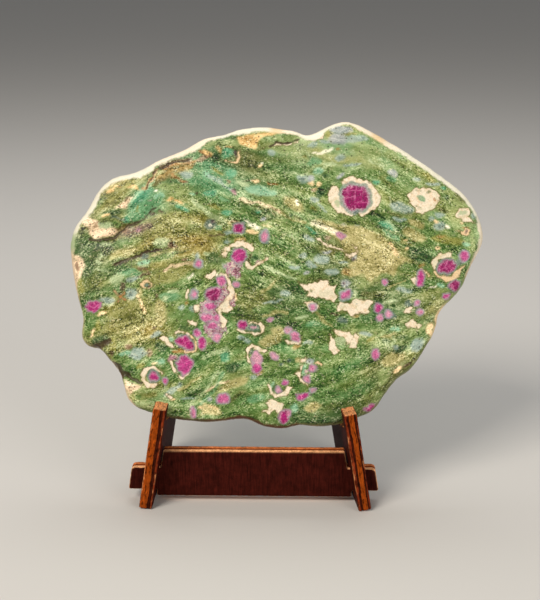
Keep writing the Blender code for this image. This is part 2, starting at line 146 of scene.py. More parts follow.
LAY_GRID = 2.0  # spacing of the grid on which the lay is eased
LAY_LOW, LAY_HIGH = (-90, -10), (92, 132)  # corners of that grid
LAY_REACH = 5.0  # how far each angle holds around its place

# How strongly each kind of soft mineral covers the ground, and which tints also still its grain.
DAB_STRENGTH, VEIN_STRENGTH, STAIN_STRENGTH = 0.85, 0.7, 0.95
CALM_TINTS = ("mist", "slate", "lilac", "mint", "jade", "teal", "pale", "rose", "peach", "sage")
CONTRAST = 0.30  # how much further the tints of the ground stand apart

# Grain of the rock: how wide the lumps of each noise are, and the ways the fine grain is drawn.
GRAIN, STREAK, POLISH, CRYSTAL = 0.55, 0.5, 0.5, 0.45
RAGGED, CLUMP, WORM, PEPPER_DOT, FLECK_DOT = 1.8, 4.5, 2.2, 1.0, 0.7
GRAIN_WAYS = (-28.0, 0.0, 30.0)
STREAK_DRAW = (0.40, 1.0, 0.7)  # how far a streak is drawn out along its way, across it and inwards
EYE_GAMMA = 2.2  # the grain is added in steps that look even to the eye
GRAIN_SWING = (0.226, 0.214, 0.208)  # how far it lifts and lowers red, green and blue

# Texture of the ground: (u, v, half across, half up, turn, share), each over its own base share.
SPECKLED_BASE, PEPPERED_BASE, FLECKED_BASE = 0.45, 0.13, 0.22
SPECKLED = [  # pale grains worming through the green; 0 is smooth
    (-38, 74, 14, 7, 5, 1.0), (-52, 40, 14, 9, 20, 1.0), (8, 72, 16, 8, -25, 0.9),
    (44, 67, 14, 6, -20, 0.9), (20, 64, 14, 6, -10, 0.6), (-2, 58, 12, 12, 0, 0.6),
    (72, 82, 8, 14, 20, 0.5), (26, 107, 20, 7, -12, 0.1), (42, 101, 10, 4, -30, 0.6),
    (12, 103, 8, 3, 0, 0.4), (0, 88, 16, 6, -25, 0.6),
    (40, 34, 14, 8, 10, 0.6), (-74, 58, 5, 14, 0, 0.5), (-12, 26, 10, 10, 0, 0.5),
    (-30, 90, 14, 8, -10, 0.4), (54, 88, 14, 10, -30, 0.5), (-58, 58, 12, 6, 20, 0.6),
    (-40, 88, 8, 6, 20, 0.6), (-5, 14, 20, 6, 5, 0.4), (25, 46, 10, 10, 0, 0.5),
    (-50, 87, 5, 3, 40, 0.0), (-36, 44, 6, 5, 0, 0.1), (-41, 50, 5, 3, 15, 0.2), (-5, 91, 6, 2, -15, 0.1),
]

PEPPERED = [  # brown-black specks
    (-58, 76, 10, 4, 25, 1.0), (-45, 74, 12, 6, 20, 0.8), (-50, 62, 12, 4, 20, 0.6),
    (-20, 50, 6, 14, 10, 0.6), (-50, 42, 14, 10, 20, 0.4), (-36, 101, 10, 4, 20, 0.6),
    (10, 72, 14, 8, -20, 0.4), (44, 66, 12, 6, -20, 0.4),
]

FLECKED = [  # white specks
    (-70, 68, 8, 8, 40, 0.7), (-72, 56, 6, 10, 0, 0.6), (52, 50, 14, 8, 0, 0.5),
    (-30, 92, 16, 8, -20, 0.4), (0, 80, 14, 8, -20, 0.4),
]

CALM = [  # no streaks, only the smooth green
    (26, 107, 20, 8, -12, 0.9), (0, 108, 9, 4, 0, 0.8), (-42, 93, 7, 2.5, 0, 0.9),
    (-36.5, 43.8, 5, 4, 0, 0.9),
    (-41, 50, 5, 3, 0, 0.5), (-6, 91, 7, 2.5, -12, 0.7), (-23.6, 64.8, 5, 3, -30, 0.7),
    (66, 72.5, 8, 3, -15, 0.6),
    (-76, 54, 4, 6, 0, 0.7), (71, 89, 4, 4, -45, 0.7), (34, 56, 6, 3, 0, 0.4), (28, 7, 12, 4, 0, 0.7),
    (-50, 87, 6, 4, 45, 0.6), (42, 20, 5, 7, -20, 0.4), (-50, 56, 12, 5, 15, 0.2), (34, 40, 8, 3, 0, 0.4),
    (62, 60, 3, 2, 0, 0.3), (53, 63, 4, 3, -15, 0.6), (-22, 100, 10, 5, 0, 0.3), (54, 92, 14, 8, -30, 0.3),
]

ROSY = [  # pink, lilac and grey minerals mixed grain by grain
    (-16, 61, 4.5, 4.0, -30, 0.85), (-19.5, 50, 4.0, 5.0, 60, 1.0), (-23.4, 40, 3.9, 5.4, 60, 0.8),
    (-26, 46, 3.5, 3.5, 0, 0.9), (-23.5, 36.5, 3.4, 2.8, 0, 0.85),
    (-7, 24, 2.6, 5.0, 0, 0.7), (12.8, 20, 3.0, 3.5, 0, 0.5),
]

# Small soft-edged minerals, under the clear-edged ones: (u, v, half across, half up, turn) by tint.
DABS = {
    "sage": [
        (-41.5, 92.8, 6.5, 1.6, -3), (-17.4, 110.5, 4.0, 1.4, 0), (-26.0, 109.5, 3.0, 1.0, 10),
        (2.8, 111.9, 5.0, 1.5, 0), (2.8, 108.0, 5.0, 1.5, -5), (35.4, 107.0, 6.0, 2.5, -15),
        (45.0, 105.0, 3.0, 1.5, -30), (66.0, 86.0, 2.5, 1.2, -20), (-56.9, 71.8, 5.0, 1.3, 5),
        (39.3, 11.8, 2.2, 3.0, -30), (41.8, 21.6, 2.0, 5.0, -15), (32.9, 55.7, 3.0, 2.3, 0),
        (-12.7, 18.8, 4.0, 2.2, 30), (-22.0, 60.5, 1.0, 1.5, 0), (57.0, 101.0, 3.5, 1.0, -38),
    ],
    "olive": [
        (-62.3, 89.0, 5.0, 3.0, 35), (-44.7, 97.4, 2.5, 2.0, 20), (28.0, 113.2, 3.5, 0.8, 10),
        (-43.0, 78.0, 9.0, 5.0, 5), (-42.6, 57.6, 8.0, 2.8, 10), (-55.4, 43.8, 9.0, 6.0, 10),
        (-52.0, 61.5, 4.0, 0.8, 10), (63.5, 73.5, 2.4, 0.9, 0), (11.0, 104.7, 1.2, 0.5, 0),
        (-48.0, 12.5, 3.0, 1.0, 10), (50.0, 71.5, 3.0, 1.2, -25),
    ],
    "tan": [
        (-58.6, 67.0, 5.5, 1.6, 15), (-45.5, 66.6, 2.5, 0.6, 10), (-44.2, 43.8, 2.2, 5.0, 0),
        (-3.8, 77.3, 2.5, 0.6, -10), (-18.5, 79.3, 2.5, 0.6, -25), (53.2, 74.4, 5.0, 2.0, -25),
        (54.1, 78.8, 3.5, 1.5, -25), (39.9, 65.6, 8.0, 5.0, -15), (-15.9, 16.6, 6.0, 1.6, 25),
        (45.3, 27.0, 5.0, 2.2, 25), (6.7, 86.3, 4.5, 2.2, -35), (1.0, 37.0, 3.0, 2.0, 0),
        (9.0, 26.0, 1.5, 1.0, 0), (-2.0, 33.5, 4.5, 2.0, 10), (-52.0, 51.5, 1.0, 1.5, 0),
    ],
    "lime": [
        (-57.0, 94.1, 3.0, 0.7, 25), (20.3, 113.9, 1.8, 1.4, 45), (-61.5, 65.3, 3.0, 0.6, 20),
        (-64.1, 44.8, 3.0, 0.6, 25), (-68.2, 38.7, 1.5, 2.0, 0), (36.4, 33.7, 1.8, 0.8, 25),
        (-62.5, 30.8, 1.2, 4.0, -5), (-76.0, 54.0, 2.0, 4.0, 0), (66.4, 72.3, 7.0, 1.5, -10),
        (-22.8, 99.2, 2.5, 0.5, -35), (-24.0, 85.5, 2.5, 0.6, -25), (31.0, 75.9, 4.0, 0.5, -3),
        (-51.4, 23.5, 2.4, 0.8, 35), (14.4, 84.7, 1.5, 0.8, -30), (59.0, 97.0, 3.0, 1.0, -38),
    ],
    "moss": [
        (-11.0, 103.6, 4.5, 3.4, 0), (-5.8, 108.3, 2.5, 0.8, 20), (64.7, 84.1, 2.0, 0.6, -25),
        (45.9, 82.4, 2.5, 0.8, -15), (71.0, 89.5, 3.0, 2.0, -45), (-52.8, 36.1, 1.5, 0.8, 10),
        (-5.0, 84.6, 4.0, 0.5, -18), (24.0, 48.4, 1.5, 0.6, 20), (37.4, 51.5, 5.0, 1.4, 0),
        (-15.0, 12.0, 4.0, 0.7, 35), (-64.0, 81.3, 3.3, 0.6, 5), (8.3, 80.4, 1.4, 0.8, -20),
        (-37.0, 67.5, 4.0, 0.5, 12),
    ],
    "green": [
        (-59.6, 71.0, 4.0, 1.4, 10), (-44.2, 65.3, 7.0, 1.2, 15), (-59.0, 26.7, 4.0, 2.0, -15),
        (-71.4, 40.6, 2.0, 3.5, 0), (35.4, 98.3, 6.0, 1.5, 0), (24.6, 66.2, 2.0, 1.4, 0),
        (-61.8, 78.0, 2.0, 1.0, 15), (-30.0, 55.6, 3.0, 1.4, 0), (34.8, 39.4, 4.5, 1.6, 5),
        (-52.7, 11.4, 1.2, 1.0, 0), (49.7, 62.0, 4.5, 2.0, -10), (54.0, 93.8, 3.0, 0.8, -15),
        (-20.0, 24.0, 4.0, 2.5, 30), (5.0, 21.0, 4.0, 2.2, 10), (-3.0, 45.5, 6.0, 1.6, 5),
    ],
    "deep": [
        (-73.7, 68.6, 3.5, 4.0, 20), (-4.5, 82.5, 5.0, 1.8, -15), (56.5, 66.4, 6.0, 2.2, -20),
        (-23.6, 64.8, 3.5, 2.4, -30), (23.5, 95.4, 2.0, 0.7, 0), (-72.0, 60.5, 2.5, 3.0, 0),
        (-33.6, 38.0, 4.0, 1.0, -5), (20.5, 93.0, 1.5, 2.0, 20), (-30.5, 13.5, 4.0, 1.2, 15),
        (48.5, 34.8, 2.5, 0.8, 0), (28.0, 5.0, 5.0, 1.5, 5), (2.0, 53.5, 5.0, 1.0, 15),
    ],
    "pine": [
        (-63.9, 82.6, 3.2, 1.0, 5), (-40.3, 86.4, 1.3, 0.6, 0), (5.7, 82.0, 1.0, 0.8, 0),
        (17.1, 91.2, 1.8, 1.8, 0), (16.4, 90.0, 1.0, 2.0, 0), (19.0, 97.1, 1.5, 1.0, 0),
        (-67.3, 33.7, 3.5, 1.3, 15), (65.5, 88.9, 1.2, 1.0, 0), (41.2, 77.4, 3.0, 0.9, -15),
        (-43.4, 30.8, 2.6, 1.6, 0), (42.4, 33.4, 2.0, 1.0, 10), (-16.2, 22.9, 2.8, 2.0, 0),
        (-8.3, 65.4, 1.2, 0.8, 0), (48.0, 30.5, 3.0, 1.0, 20), (-23.5, 104.4, 1.6, 1.3, 0),
        (54.2, 67.8, 6.0, 0.7, -22), (55.5, 65.0, 5.0, 0.6, -18),
    ],
    "jade": [
        (-41.0, 50.2, 4.0, 1.7, 0), (-27.6, 97.6, 1.4, 2.0, 20),
        (-20.0, 104.4, 1.5, 0.8, 0), (-20.0, 87.9, 1.8, 0.8, -15), (-56.4, 59.4, 4.6, 1.4, 3),
        (-22.2, 77.2, 1.5, 1.2, 0), (44.7, 74.2, 4.0, 0.9, -32), (-7.3, 11.5, 3.5, 1.5, 10),
        (-36.0, 87.0, 2.0, 0.5, -25),
        (44.3, 96.1, 1.8, 1.0, 0), (14.5, 40.0, 3.0, 1.0, 5), (14.7, 102.8, 3.0, 1.4, 10),
    ],
    "teal": [
        (-36.4, 84.5, 3.0, 1.0, -25), (-19.0, 106.3, 2.1, 1.9, 0), (-17.7, 98.2, 2.4, 1.6, 0),
        (-25.4, 90.5, 2.5, 1.1, 0), (-19.3, 83.0, 2.2, 1.1, 0), (-7.0, 83.3, 1.2, 0.5, 0),
        (38.6, 94.5, 1.5, 0.9, 0), (43.0, 78.2, 3.5, 1.2, -25),
        (13.6, 76.1, 2.6, 0.6, -35), (-19.4, 27.4, 1.8, 2.2, 0),
        (-55.4, 76.7, 1.0, 0.9, 0), (64.4, 93.0, 1.3, 0.8, -20), (-58.0, 80.0, 1.5, 1.0, 30),
    ],
    "mint": [
        (-6.2, 91.4, 6.4, 1.7, -12), (-44.8, 89.2, 1.6, 0.9, 20), (-32.5, 90.0, 1.2, 0.5, 0),
        (-50.9, 63.1, 2.3, 1.2, 5), (-40.2, 33.7, 1.5, 1.2, 0), (63.5, 55.0, 1.8, 0.9, 0),
        (7.3, 7.7, 1.5, 1.8, 0), (16.2, 99.0, 2.2, 1.1, 10), (72.9, 70.8, 1.7, 0.9, -10),
        (-58.0, 28.2, 2.4, 0.8, 0), (-44.4, 25.1, 2.0, 0.9, 0), (46.0, 38.0, 2.0, 0.8, -10),
        (-27.0, 98.0, 1.0, 1.4, 20), (10.8, 22.3, 1.0, 2.0, 0),
    ],
    "pale": [
        (-65.7, 70.5, 2.4, 0.7, 5), (-67.4, 65.7, 0.8, 0.8, 0), (-68.2, 63.1, 1.1, 0.8, 0),
        (-66.6, 60.4, 2.5, 0.5, -5), (-65.7, 77.3, 2.4, 1.1, 20), (-61.2, 57.0, 3.0, 2.0, 30),
        (-44.6, 71.0, 3.4, 1.8, 5), (21.0, 101.8, 2.5, 0.7, 0), (-50.3, 61.6, 1.6, 0.4, 5),
        (-12.9, 94.0, 2.5, 1.1, -15), (43.7, 48.6, 3.0, 0.7, 5), (-26.8, 67.1, 1.2, 0.7, 20),
        (-30.8, 28.0, 2.0, 0.5, 15), (30.5, 51.8, 0.7, 1.6, 0), (-14.5, 91.0, 1.0, 0.5, 0),
        (-65.0, 47.0, 2.6, 0.7, 15), (-39.5, 52.0, 2.0, 0.7, 0), (-42.5, 49.5, 1.4, 0.9, 0),
        (50.7, 45.1, 1.8, 0.5, 10), (-41.8, 15.2, 1.2, 0.5, 20), (10.0, 42.5, 2.5, 0.5, 10),
    ],
    "mist": [
        (-34.8, 97.4, 2.3, 1.1, 0), (14.0, 109.3, 2.0, 0.8, 5), (30.9, 111.6, 4.6, 1.1, 5),
        (18.7, 110.3, 2.0, 0.8, 0), (24.8, 104.5, 2.2, 1.1, 5), (29.6, 101.6, 3.5, 0.5, 0),
        (10.5, 96.0, 2.8, 1.5, -15), (14.7, 88.2, 1.9, 1.0, -20), (18.0, 84.8, 2.4, 0.5, -42),
        (54.2, 95.8, 1.3, 0.7, 0), (60.3, 94.5, 3.0, 0.6, 0), (63.2, 82.4, 2.2, 1.1, -15),
        (63.0, 78.0, 2.5, 1.8, -15), (59.7, 80.6, 1.2, 0.9, 0), (46.8, 80.6, 2.5, 0.7, -15),
        (49.4, 80.7, 1.2, 0.6, 0), (75.8, 82.1, 1.0, 1.2, 0), (-1.7, 106.6, 1.6, 1.1, -25),
        (-18.5, 75.4, 2.0, 0.8, -5), (-30.7, 66.0, 0.8, 1.5, 10), (-19.1, 71.1, 1.2, 0.8, 0),
        (10.3, 66.4, 1.8, 1.1, 0), (12.8, 63.2, 1.5, 1.2, 0), (14.4, 62.0, 1.8, 0.8, 0),
        (7.1, 61.6, 1.8, 0.9, 0), (12.8, 72.9, 2.5, 0.9, -25), (3.9, 51.4, 2.0, 1.1, 0),
        (-1.2, 48.5, 4.0, 0.5, 5), (35.1, 71.3, 3.4, 0.6, -3), (31.0, 77.4, 1.2, 0.8, 0),
        (17.6, 64.9, 3.0, 1.6, 0), (26.2, 63.6, 1.6, 0.6, 0), (21.4, 60.1, 2.4, 1.2, 0),
        (49.5, 53.1, 3.4, 1.0, -8), (34.5, 36.2, 2.4, 0.9, 0), (-65.0, 48.9, 3.0, 1.2, 0),
        (-55.4, 51.2, 2.4, 2.1, 0), (-55.1, 57.1, 2.8, 0.9, 25), (-36.2, 46.1, 1.3, 0.9, 0),
        (-31.4, 45.4, 1.4, 1.2, 0), (-45.8, 35.5, 2.4, 1.1, 35), (-39.3, 14.3, 4.0, 1.0, 35),
        (-33.2, 11.1, 3.0, 0.5, 3), (-8.3, 19.4, 1.2, 1.0, 0), (-13.3, 34.6, 1.6, 0.9, 0),
        (-19.5, 62.0, 1.2, 1.4, 0), (48.5, 85.1, 4.8, 1.9, -17), (46.2, 31.1, 1.2, 1.0, 0),
        (-10.9, 33.5, 1.5, 0.8, 0), (12.5, 32.5, 2.0, 0.6, 5),
    ],
    "lilac": [
        (25.1, 115.2, 4.4, 1.7, -5), (23.5, 111.6, 3.4, 2.3, 0), (13.3, 96.0, 0.9, 1.3, 0),
        (-4.9, 80.1, 1.2, 0.8, 0), (11.9, 59.6, 1.2, 0.6, 0), (26.8, 55.7, 1.8, 1.4, 0),
        (26.2, 78.0, 1.2, 0.7, 0), (35.4, 74.5, 1.0, 0.8, 0), (30.4, 65.6, 1.2, 1.1, 0),
        (-25.0, 10.8, 1.2, 0.9, 0), (13.3, 25.8, 1.5, 1.1, 0), (14.3, 15.0, 1.5, 1.0, 45),
        (19.8, 67.5, 1.6, 0.5, 0), (45.0, 98.4, 1.8, 1.1, -30), (24.5, 97.1, 1.6, 0.8, 20),
    ],
    "slate": [
        (-25.2, 78.3, 2.4, 2.2, 0), (10.3, 96.0, 0.9, 0.7, 0), (14.5, 88.4, 0.6, 0.5, 0),
        (63.0, 77.5, 0.7, 0.6, 0), (-50.8, 65.7, 1.3, 1.0, 10), (-55.4, 51.2, 0.9, 0.7, 0),
        (25.4, 41.8, 2.2, 1.3, -18), (51.1, 47.7, 1.6, 1.4, 0), (45.3, 43.2, 1.0, 1.3, 0),
        (-36.4, 16.8, 0.9, 0.9, 0), (5.1, 25.5, 0.9, 0.8, 0), (2.5, 24.2, 0.9, 0.6, 0),
        (-9.7, 29.7, 1.2, 1.2, 0), (70.2, 64.2, 1.6, 1.2, 0), (46.0, 31.2, 0.6, 0.5, 0),
        (-8.0, 38.2, 3.0, 2.0, 0), (-36.7, 35.4, 1.6, 0.7, 0),
    ],
    "ochre": [
        (-39.0, 99.7, 5.0, 2.0, 10), (-22.5, 107.3, 0.6, 1.8, 20), (-18.7, 108.6, 1.5, 0.5, 0),
        (56.2, 62.8, 1.3, 0.6, 10), (28.4, 60.1, 3.2, 1.3, 0), (-19.5, 53.0, 0.9, 1.6, 0),
        (-14.0, 72.2, 2.4, 0.9, 15), (31.0, 43.2, 1.4, 0.5, 0), (-33.9, 47.7, 0.7, 0.9, 0),
        (-36.7, 29.2, 2.4, 0.7, 0), (-6.3, 20.7, 1.6, 0.5, 15), (23.8, 107.4, 0.8, 0.4, 0),
        (-53.7, 83.8, 0.5, 1.3, -15), (72.6, 77.3, 1.3, 0.5, -5), (63.0, 73.6, 1.4, 0.4, 0),
        (-7.3, 28.6, 0.6, 0.7, 0), (8.0, 31.5, 2.0, 0.8, 15),
    ],
    "copper": [
        (-40.0, 99.4, 2.4, 0.8, 10), (-48.6, 95.5, 1.3, 0.9, 40), (-29.0, 106.2, 1.6, 0.7, -35),
        (-51.0, 92.0, 0.8, 0.8, 0), (-1.3, 94.3, 2.4, 0.4, -10),
    ],
    "amber": [
        (-64.3, 91.0, 1.5, 0.7, 25), (-61.7, 92.5, 1.2, 0.4, 20), (-41.2, 88.3, 1.6, 0.6, 35),
        (-37.4, 87.4, 2.4, 0.5, -15), (-27.0, 106.0, 2.0, 1.2, -40), (-66.0, 81.6, 1.6, 0.5, 10),
    ],
    "peach": [
        (16.2, 94.1, 1.0, 1.1, -30), (14.6, 91.9, 0.7, 0.8, -40), (13.4, 94.3, 0.8, 0.6, 0),
        (61.7, 79.7, 1.2, 0.7, -10), (62.3, 69.3, 0.9, 0.6, 0), (50.1, 68.8, 0.7, 0.4, 0),
        (50.0, 72.3, 0.7, 0.3, 0), (47.2, 65.2, 3.0, 0.9, -10), (-9.2, 75.4, 2.4, 0.8, -15),
        (29.4, 73.7, 1.8, 0.4, 0), (-66.6, 43.1, 2.0, 0.7, 20), (-70.5, 35.8, 0.6, 1.7, -25),
        (59.2, 38.4, 1.5, 2.6, -15), (61.6, 42.2, 0.6, 1.5, -8), (-25.1, 7.4, 4.0, 1.1, 0),
        (-6.2, 101.3, 0.7, 0.6, 0), (-8.1, 95.0, 1.6, 0.7, -10), (-15.9, 50.2, 0.9, 1.8, 0),
        (-46.4, 24.6, 1.4, 0.4, 10), (71.7, 79.4, 0.7, 0.4, 0), (46.9, 22.9, 1.8, 0.8, 35),
        (-69.0, 74.4, 3.0, 0.9, 10), (-39.3, 10.8, 1.2, 0.4, 0), (36.5, 67.5, 1.8, 0.6, 0),
    ],
    "rust": [
        (-28.3, 104.0, 3.0, 0.9, 25), (-18.3, 95.3, 1.5, 0.5, -40), (-16.0, 79.8, 2.0, 0.4, 0),
        (-54.3, 76.3, 6.0, 1.4, 15), (-36.0, 95.2, 1.8, 0.4, -15), (-48.4, 28.6, 1.0, 1.8, 0),
        (-42.3, 60.3, 1.2, 0.5, 40), (-35.2, 64.9, 1.5, 0.4, 10), (19.8, 73.2, 1.3, 0.7, 0),
        (47.0, 65.6, 1.8, 0.5, -20), (-40.0, 70.0, 1.6, 1.0, -20), (-56.5, 30.5, 1.2, 1.0, 30),
    ],
    "bark": [
        (-47.9, 82.5, 1.2, 0.5, 15), (-44.7, 83.1, 1.0, 0.5, 0), (-11.0, 95.5, 1.8, 0.3, 0),
        (-50.5, 58.6, 1.5, 0.5, 10), (-58.9, 53.8, 0.9, 1.4, 20), (-45.8, 50.2, 0.5, 1.1, 0),
        (-46.4, 38.3, 0.9, 0.8, 0), (-49.2, 77.2, 1.2, 1.2, 0), (-14.3, 58.3, 1.2, 0.5, 15),
        (-60.5, 20.6, 2.6, 1.0, -35), (-59.0, 55.0, 1.5, 0.4, -10), (50.7, 24.5, 1.8, 0.6, 35),
        (53.2, 26.2, 0.8, 0.4, 20), (-65.4, 32.6, 1.2, 0.5, 20), (22.5, 43.9, 1.5, 0.4, 0),
        (-30.5, 90.5, 0.6, 0.4, 0), (14.0, 91.8, 1.0, 0.5, -35), (-63.0, 28.2, 1.0, 0.8, -40),
        (-52.2, 58.4, 1.0, 0.3, 25), (73.0, 75.4, 0.4, 0.4, 0), (-24.6, 48.3, 1.2, 0.5, 0),
        (-24.8, 32.4, 1.2, 0.5, 0), (-25.7, 37.8, 0.6, 0.8, 0), (-60.0, 51.8, 0.8, 0.6, 0),
    ],
    "plum": [
        (-16.1, 105.7, 0.8, 1.5, 20), (-24.4, 79.3, 0.7, 0.6, 0), (-15.8, 91.2, 0.9, 0.5, -35),
        (30.0, 65.0, 0.6, 0.5, 0), (26.2, 56.0, 0.5, 0.4, 0), (-39.6, 27.0, 1.2, 0.7, 0),
        (72.9, 75.9, 0.6, 0.5, 0),
    ],
    "rose": [
        (-17.2, 62.9, 2.0, 0.9, 40), (-18.5, 59.4, 0.7, 1.8, 0), (-7.3, 63.9, 0.7, 0.6, 0),
        (-25.2, 46.3, 2.0, 1.4, 0), (-39.4, 26.6, 2.0, 1.0, 10), (54.6, 48.0, 1.1, 1.0, 0),
        (-0.6, 28.0, 1.9, 1.1, -25), (5.1, 37.5, 1.5, 1.6, 0), (-48.6, 87.4, 0.7, 0.4, 0),
        (-53.0, 75.8, 1.0, 0.7, 0), (-7.3, 26.1, 2.1, 2.6, 0), (-31.5, 5.7, 1.2, 2.4, 0),
        (-1.9, 41.9, 1.0, 0.8, 0), (-16.5, 90.5, 1.4, 0.5, -35),
    ],
    "white": [
        (-5.5, 101.9, 0.5, 0.4, 0), (66.0, 77.6, 0.5, 0.6, 0), (-46.3, 91.3, 1.0, 0.4, 0),
        (-22.6, 58.9, 0.6, 0.6, 0), (8.2, 86.8, 0.7, 1.2, 20), (-25.5, 77.9, 0.4, 0.4, 0),
        (60.5, 54.5, 1.4, 0.4, 0),
    ],
}

# Soft veins, under the clear-edged minerals: (tint, half width, points).
VEINS = [
    ("blush", 0.5, [(-13.8, 88.2), (-11.0, 87.2), (-7.1, 87.2), (-4.5, 85.9), (-2.0, 85.0), (1.9, 83.0)]),
    ("tan", 0.4, [(1.9, 83.0), (4.4, 81.2), (6.0, 79.8), (11.5, 79.0)]),
    ("cream", 0.9, [(14.4, 79.0), (17.0, 78.0), (20.2, 76.6), (23.0, 75.4)]),
    ("blush", 0.5, [(-42.6, 60.0), (-40.0, 61.8), (-36.8, 62.8), (-34.6, 63.7), (-32.2, 63.4)]),
    ("pale", 0.5, [(41.4, 34.0), (44.0, 30.6), (45.4, 33.6), (44.8, 35.8)]),
    ("blush", 0.4, [(-27.0, 13.7), (-22.2, 16.6), (-17.8, 17.4)]),
    ("pale", 0.9, [(-32.5, 88.2), (-30.3, 85.8), (-26.7, 83.2), (-23.8, 81.1), (-20.0, 79.5)]),
    ("mist", 0.8, [(-26.0, 97.4), (-22.2, 95.0), (-19.3, 93.0), (-17.5, 91.6)]),
    ("white", 0.5, [(14.4, 106.2), (18.7, 106.4), (21.9, 107.5)]),
    ("white", 0.6, [(-12.1, 79.6), (-8.9, 77.7), (-6.7, 76.5)]),
    ("pale", 0.8, [(-27.5, 27.2), (-24.5, 28.3), (-21.5, 29.5), (-18.5, 30.2)]),
    ("pale", 0.5, [(42.5, 80.0), (44.6, 78.2), (46.5, 76.2)]),
    ("white", 0.4, [(-33.8, 57.6), (-31.8, 59.0)]),
    ("pale", 0.5, [(36.0, 103.4), (39.5, 101.6), (42.0, 99.8)]),
    ("pale", 0.4, [(3.0, 98.7), (7.0, 98.0), (12.0, 97.6)]),
    ("pale", 0.4, [(0.0, 66.5), (5.0, 63.8), (10.0, 62.0)]),
    ("pale", 0.4, [(-4.0, 62.0), (1.0, 60.0), (5.0, 57.6), (8.0, 56.9)]),
    ("pale", 0.4, [(2.0, 75.0), (6.0, 73.5), (9.0, 70.5)]),
    ("tan", 0.5, [(0.0, 56.5), (-2.5, 53.6), (-5.1, 52.7)]),
    ("tan", 0.5, [(-4.5, 43.0), (0.5, 44.8), (4.5, 44.2)]),
    ("tan", 0.5, [(16.0, 44.5), (18.5, 41.5), (21.5, 39.0)]),
    ("tan", 0.5, [(40.5, 35.0), (43.5, 35.8), (45.8, 36.2)]),
    ("tan", 0.4, [(50.0, 57.0), (46.0, 55.4), (43.0, 54.2)]),
    ("tan", 0.5, [(-37.0, 14.5), (-33.0, 16.5), (-29.0, 19.5)]),
    ("pale", 0.5, [(-33.0, 8.0), (-27.5, 13.4), (-22.0, 21.0)]),
    ("jade", 0.7, [(-28.0, 9.0), (-23.0, 15.0), (-20.0, 21.0)]),
    ("peach", 0.6, [(43.7, 71.3), (45.5, 69.2), (46.6, 67.2)]),
    ("peach", 0.5, [(-53.0, 50.2), (-51.5, 47.0), (-50.0, 44.0)]),
    ("copper", 0.5, [(-40.3, 97.3), (-38.3, 95.8), (-36.1, 95.1)]),
    ("copper", 0.6, [(-46.7, 99.4), (-47.3, 97.4), (-48.9, 95.1), (-50.2, 92.9)]),
    ("ochre", 0.7, [(-46.0, 95.6), (-43.0, 98.0), (-38.6, 99.6), (-33.0, 100.8)]),
    ("copper", 0.5, [(-44.6, 99.6), (-40.4, 101.2), (-35.0, 102.2), (-31.0, 102.8)]),
    ("rust", 0.8, [(-45.5, 100.3), (-42.8, 101.4), (-40.0, 102.4), (-36.8, 103.2), (-33.0, 103.4)]),
    ("rust", 0.3, [(-60.2, 50.5), (-57.9, 48.9)]),
    ("rust", 0.3, [(-62.0, 51.6), (-60.2, 50.5), (-60.5, 48.4)]),
    ("rust", 0.3, [(-60.2, 50.5), (-58.2, 51.8)]),
    ("rust", 0.5, [(-52.8, 61.5), (-50.6, 60.4), (-48.7, 59.2)]),
    ("bark", 0.5, [(-62.1, 62.4), (-58.9, 63.4), (-55.7, 64.7), (-53.2, 66.0), (-50.6, 67.3), (-44.2, 68.5)]),
    ("bark", 0.4, [(-41.2, 72.5), (-40.2, 70.5), (-42.3, 68.9)]),
    ("bark", 0.4, [(-9.9, 66.8), (-10.3, 64.5), (-10.0, 62.6)]),
    ("bark", 0.3, [(-26.0, 74.0), (-20.0, 74.3)]),
    ("moss", 0.4, [(-45.0, 53.0), (-41.0, 53.2), (-37.5, 53.0)]),
    ("moss", 0.5, [(13.5, 79.6), (17.0, 78.6), (22.0, 77.2), (27.0, 76.4)]),
    ("moss", 0.4, [(-14.5, 87.2), (-9.0, 85.6), (-4.0, 84.2), (1.5, 81.8)]),
    ("slate", 0.4, [(-63.0, 80.9), (-58.5, 80.0)]),
]

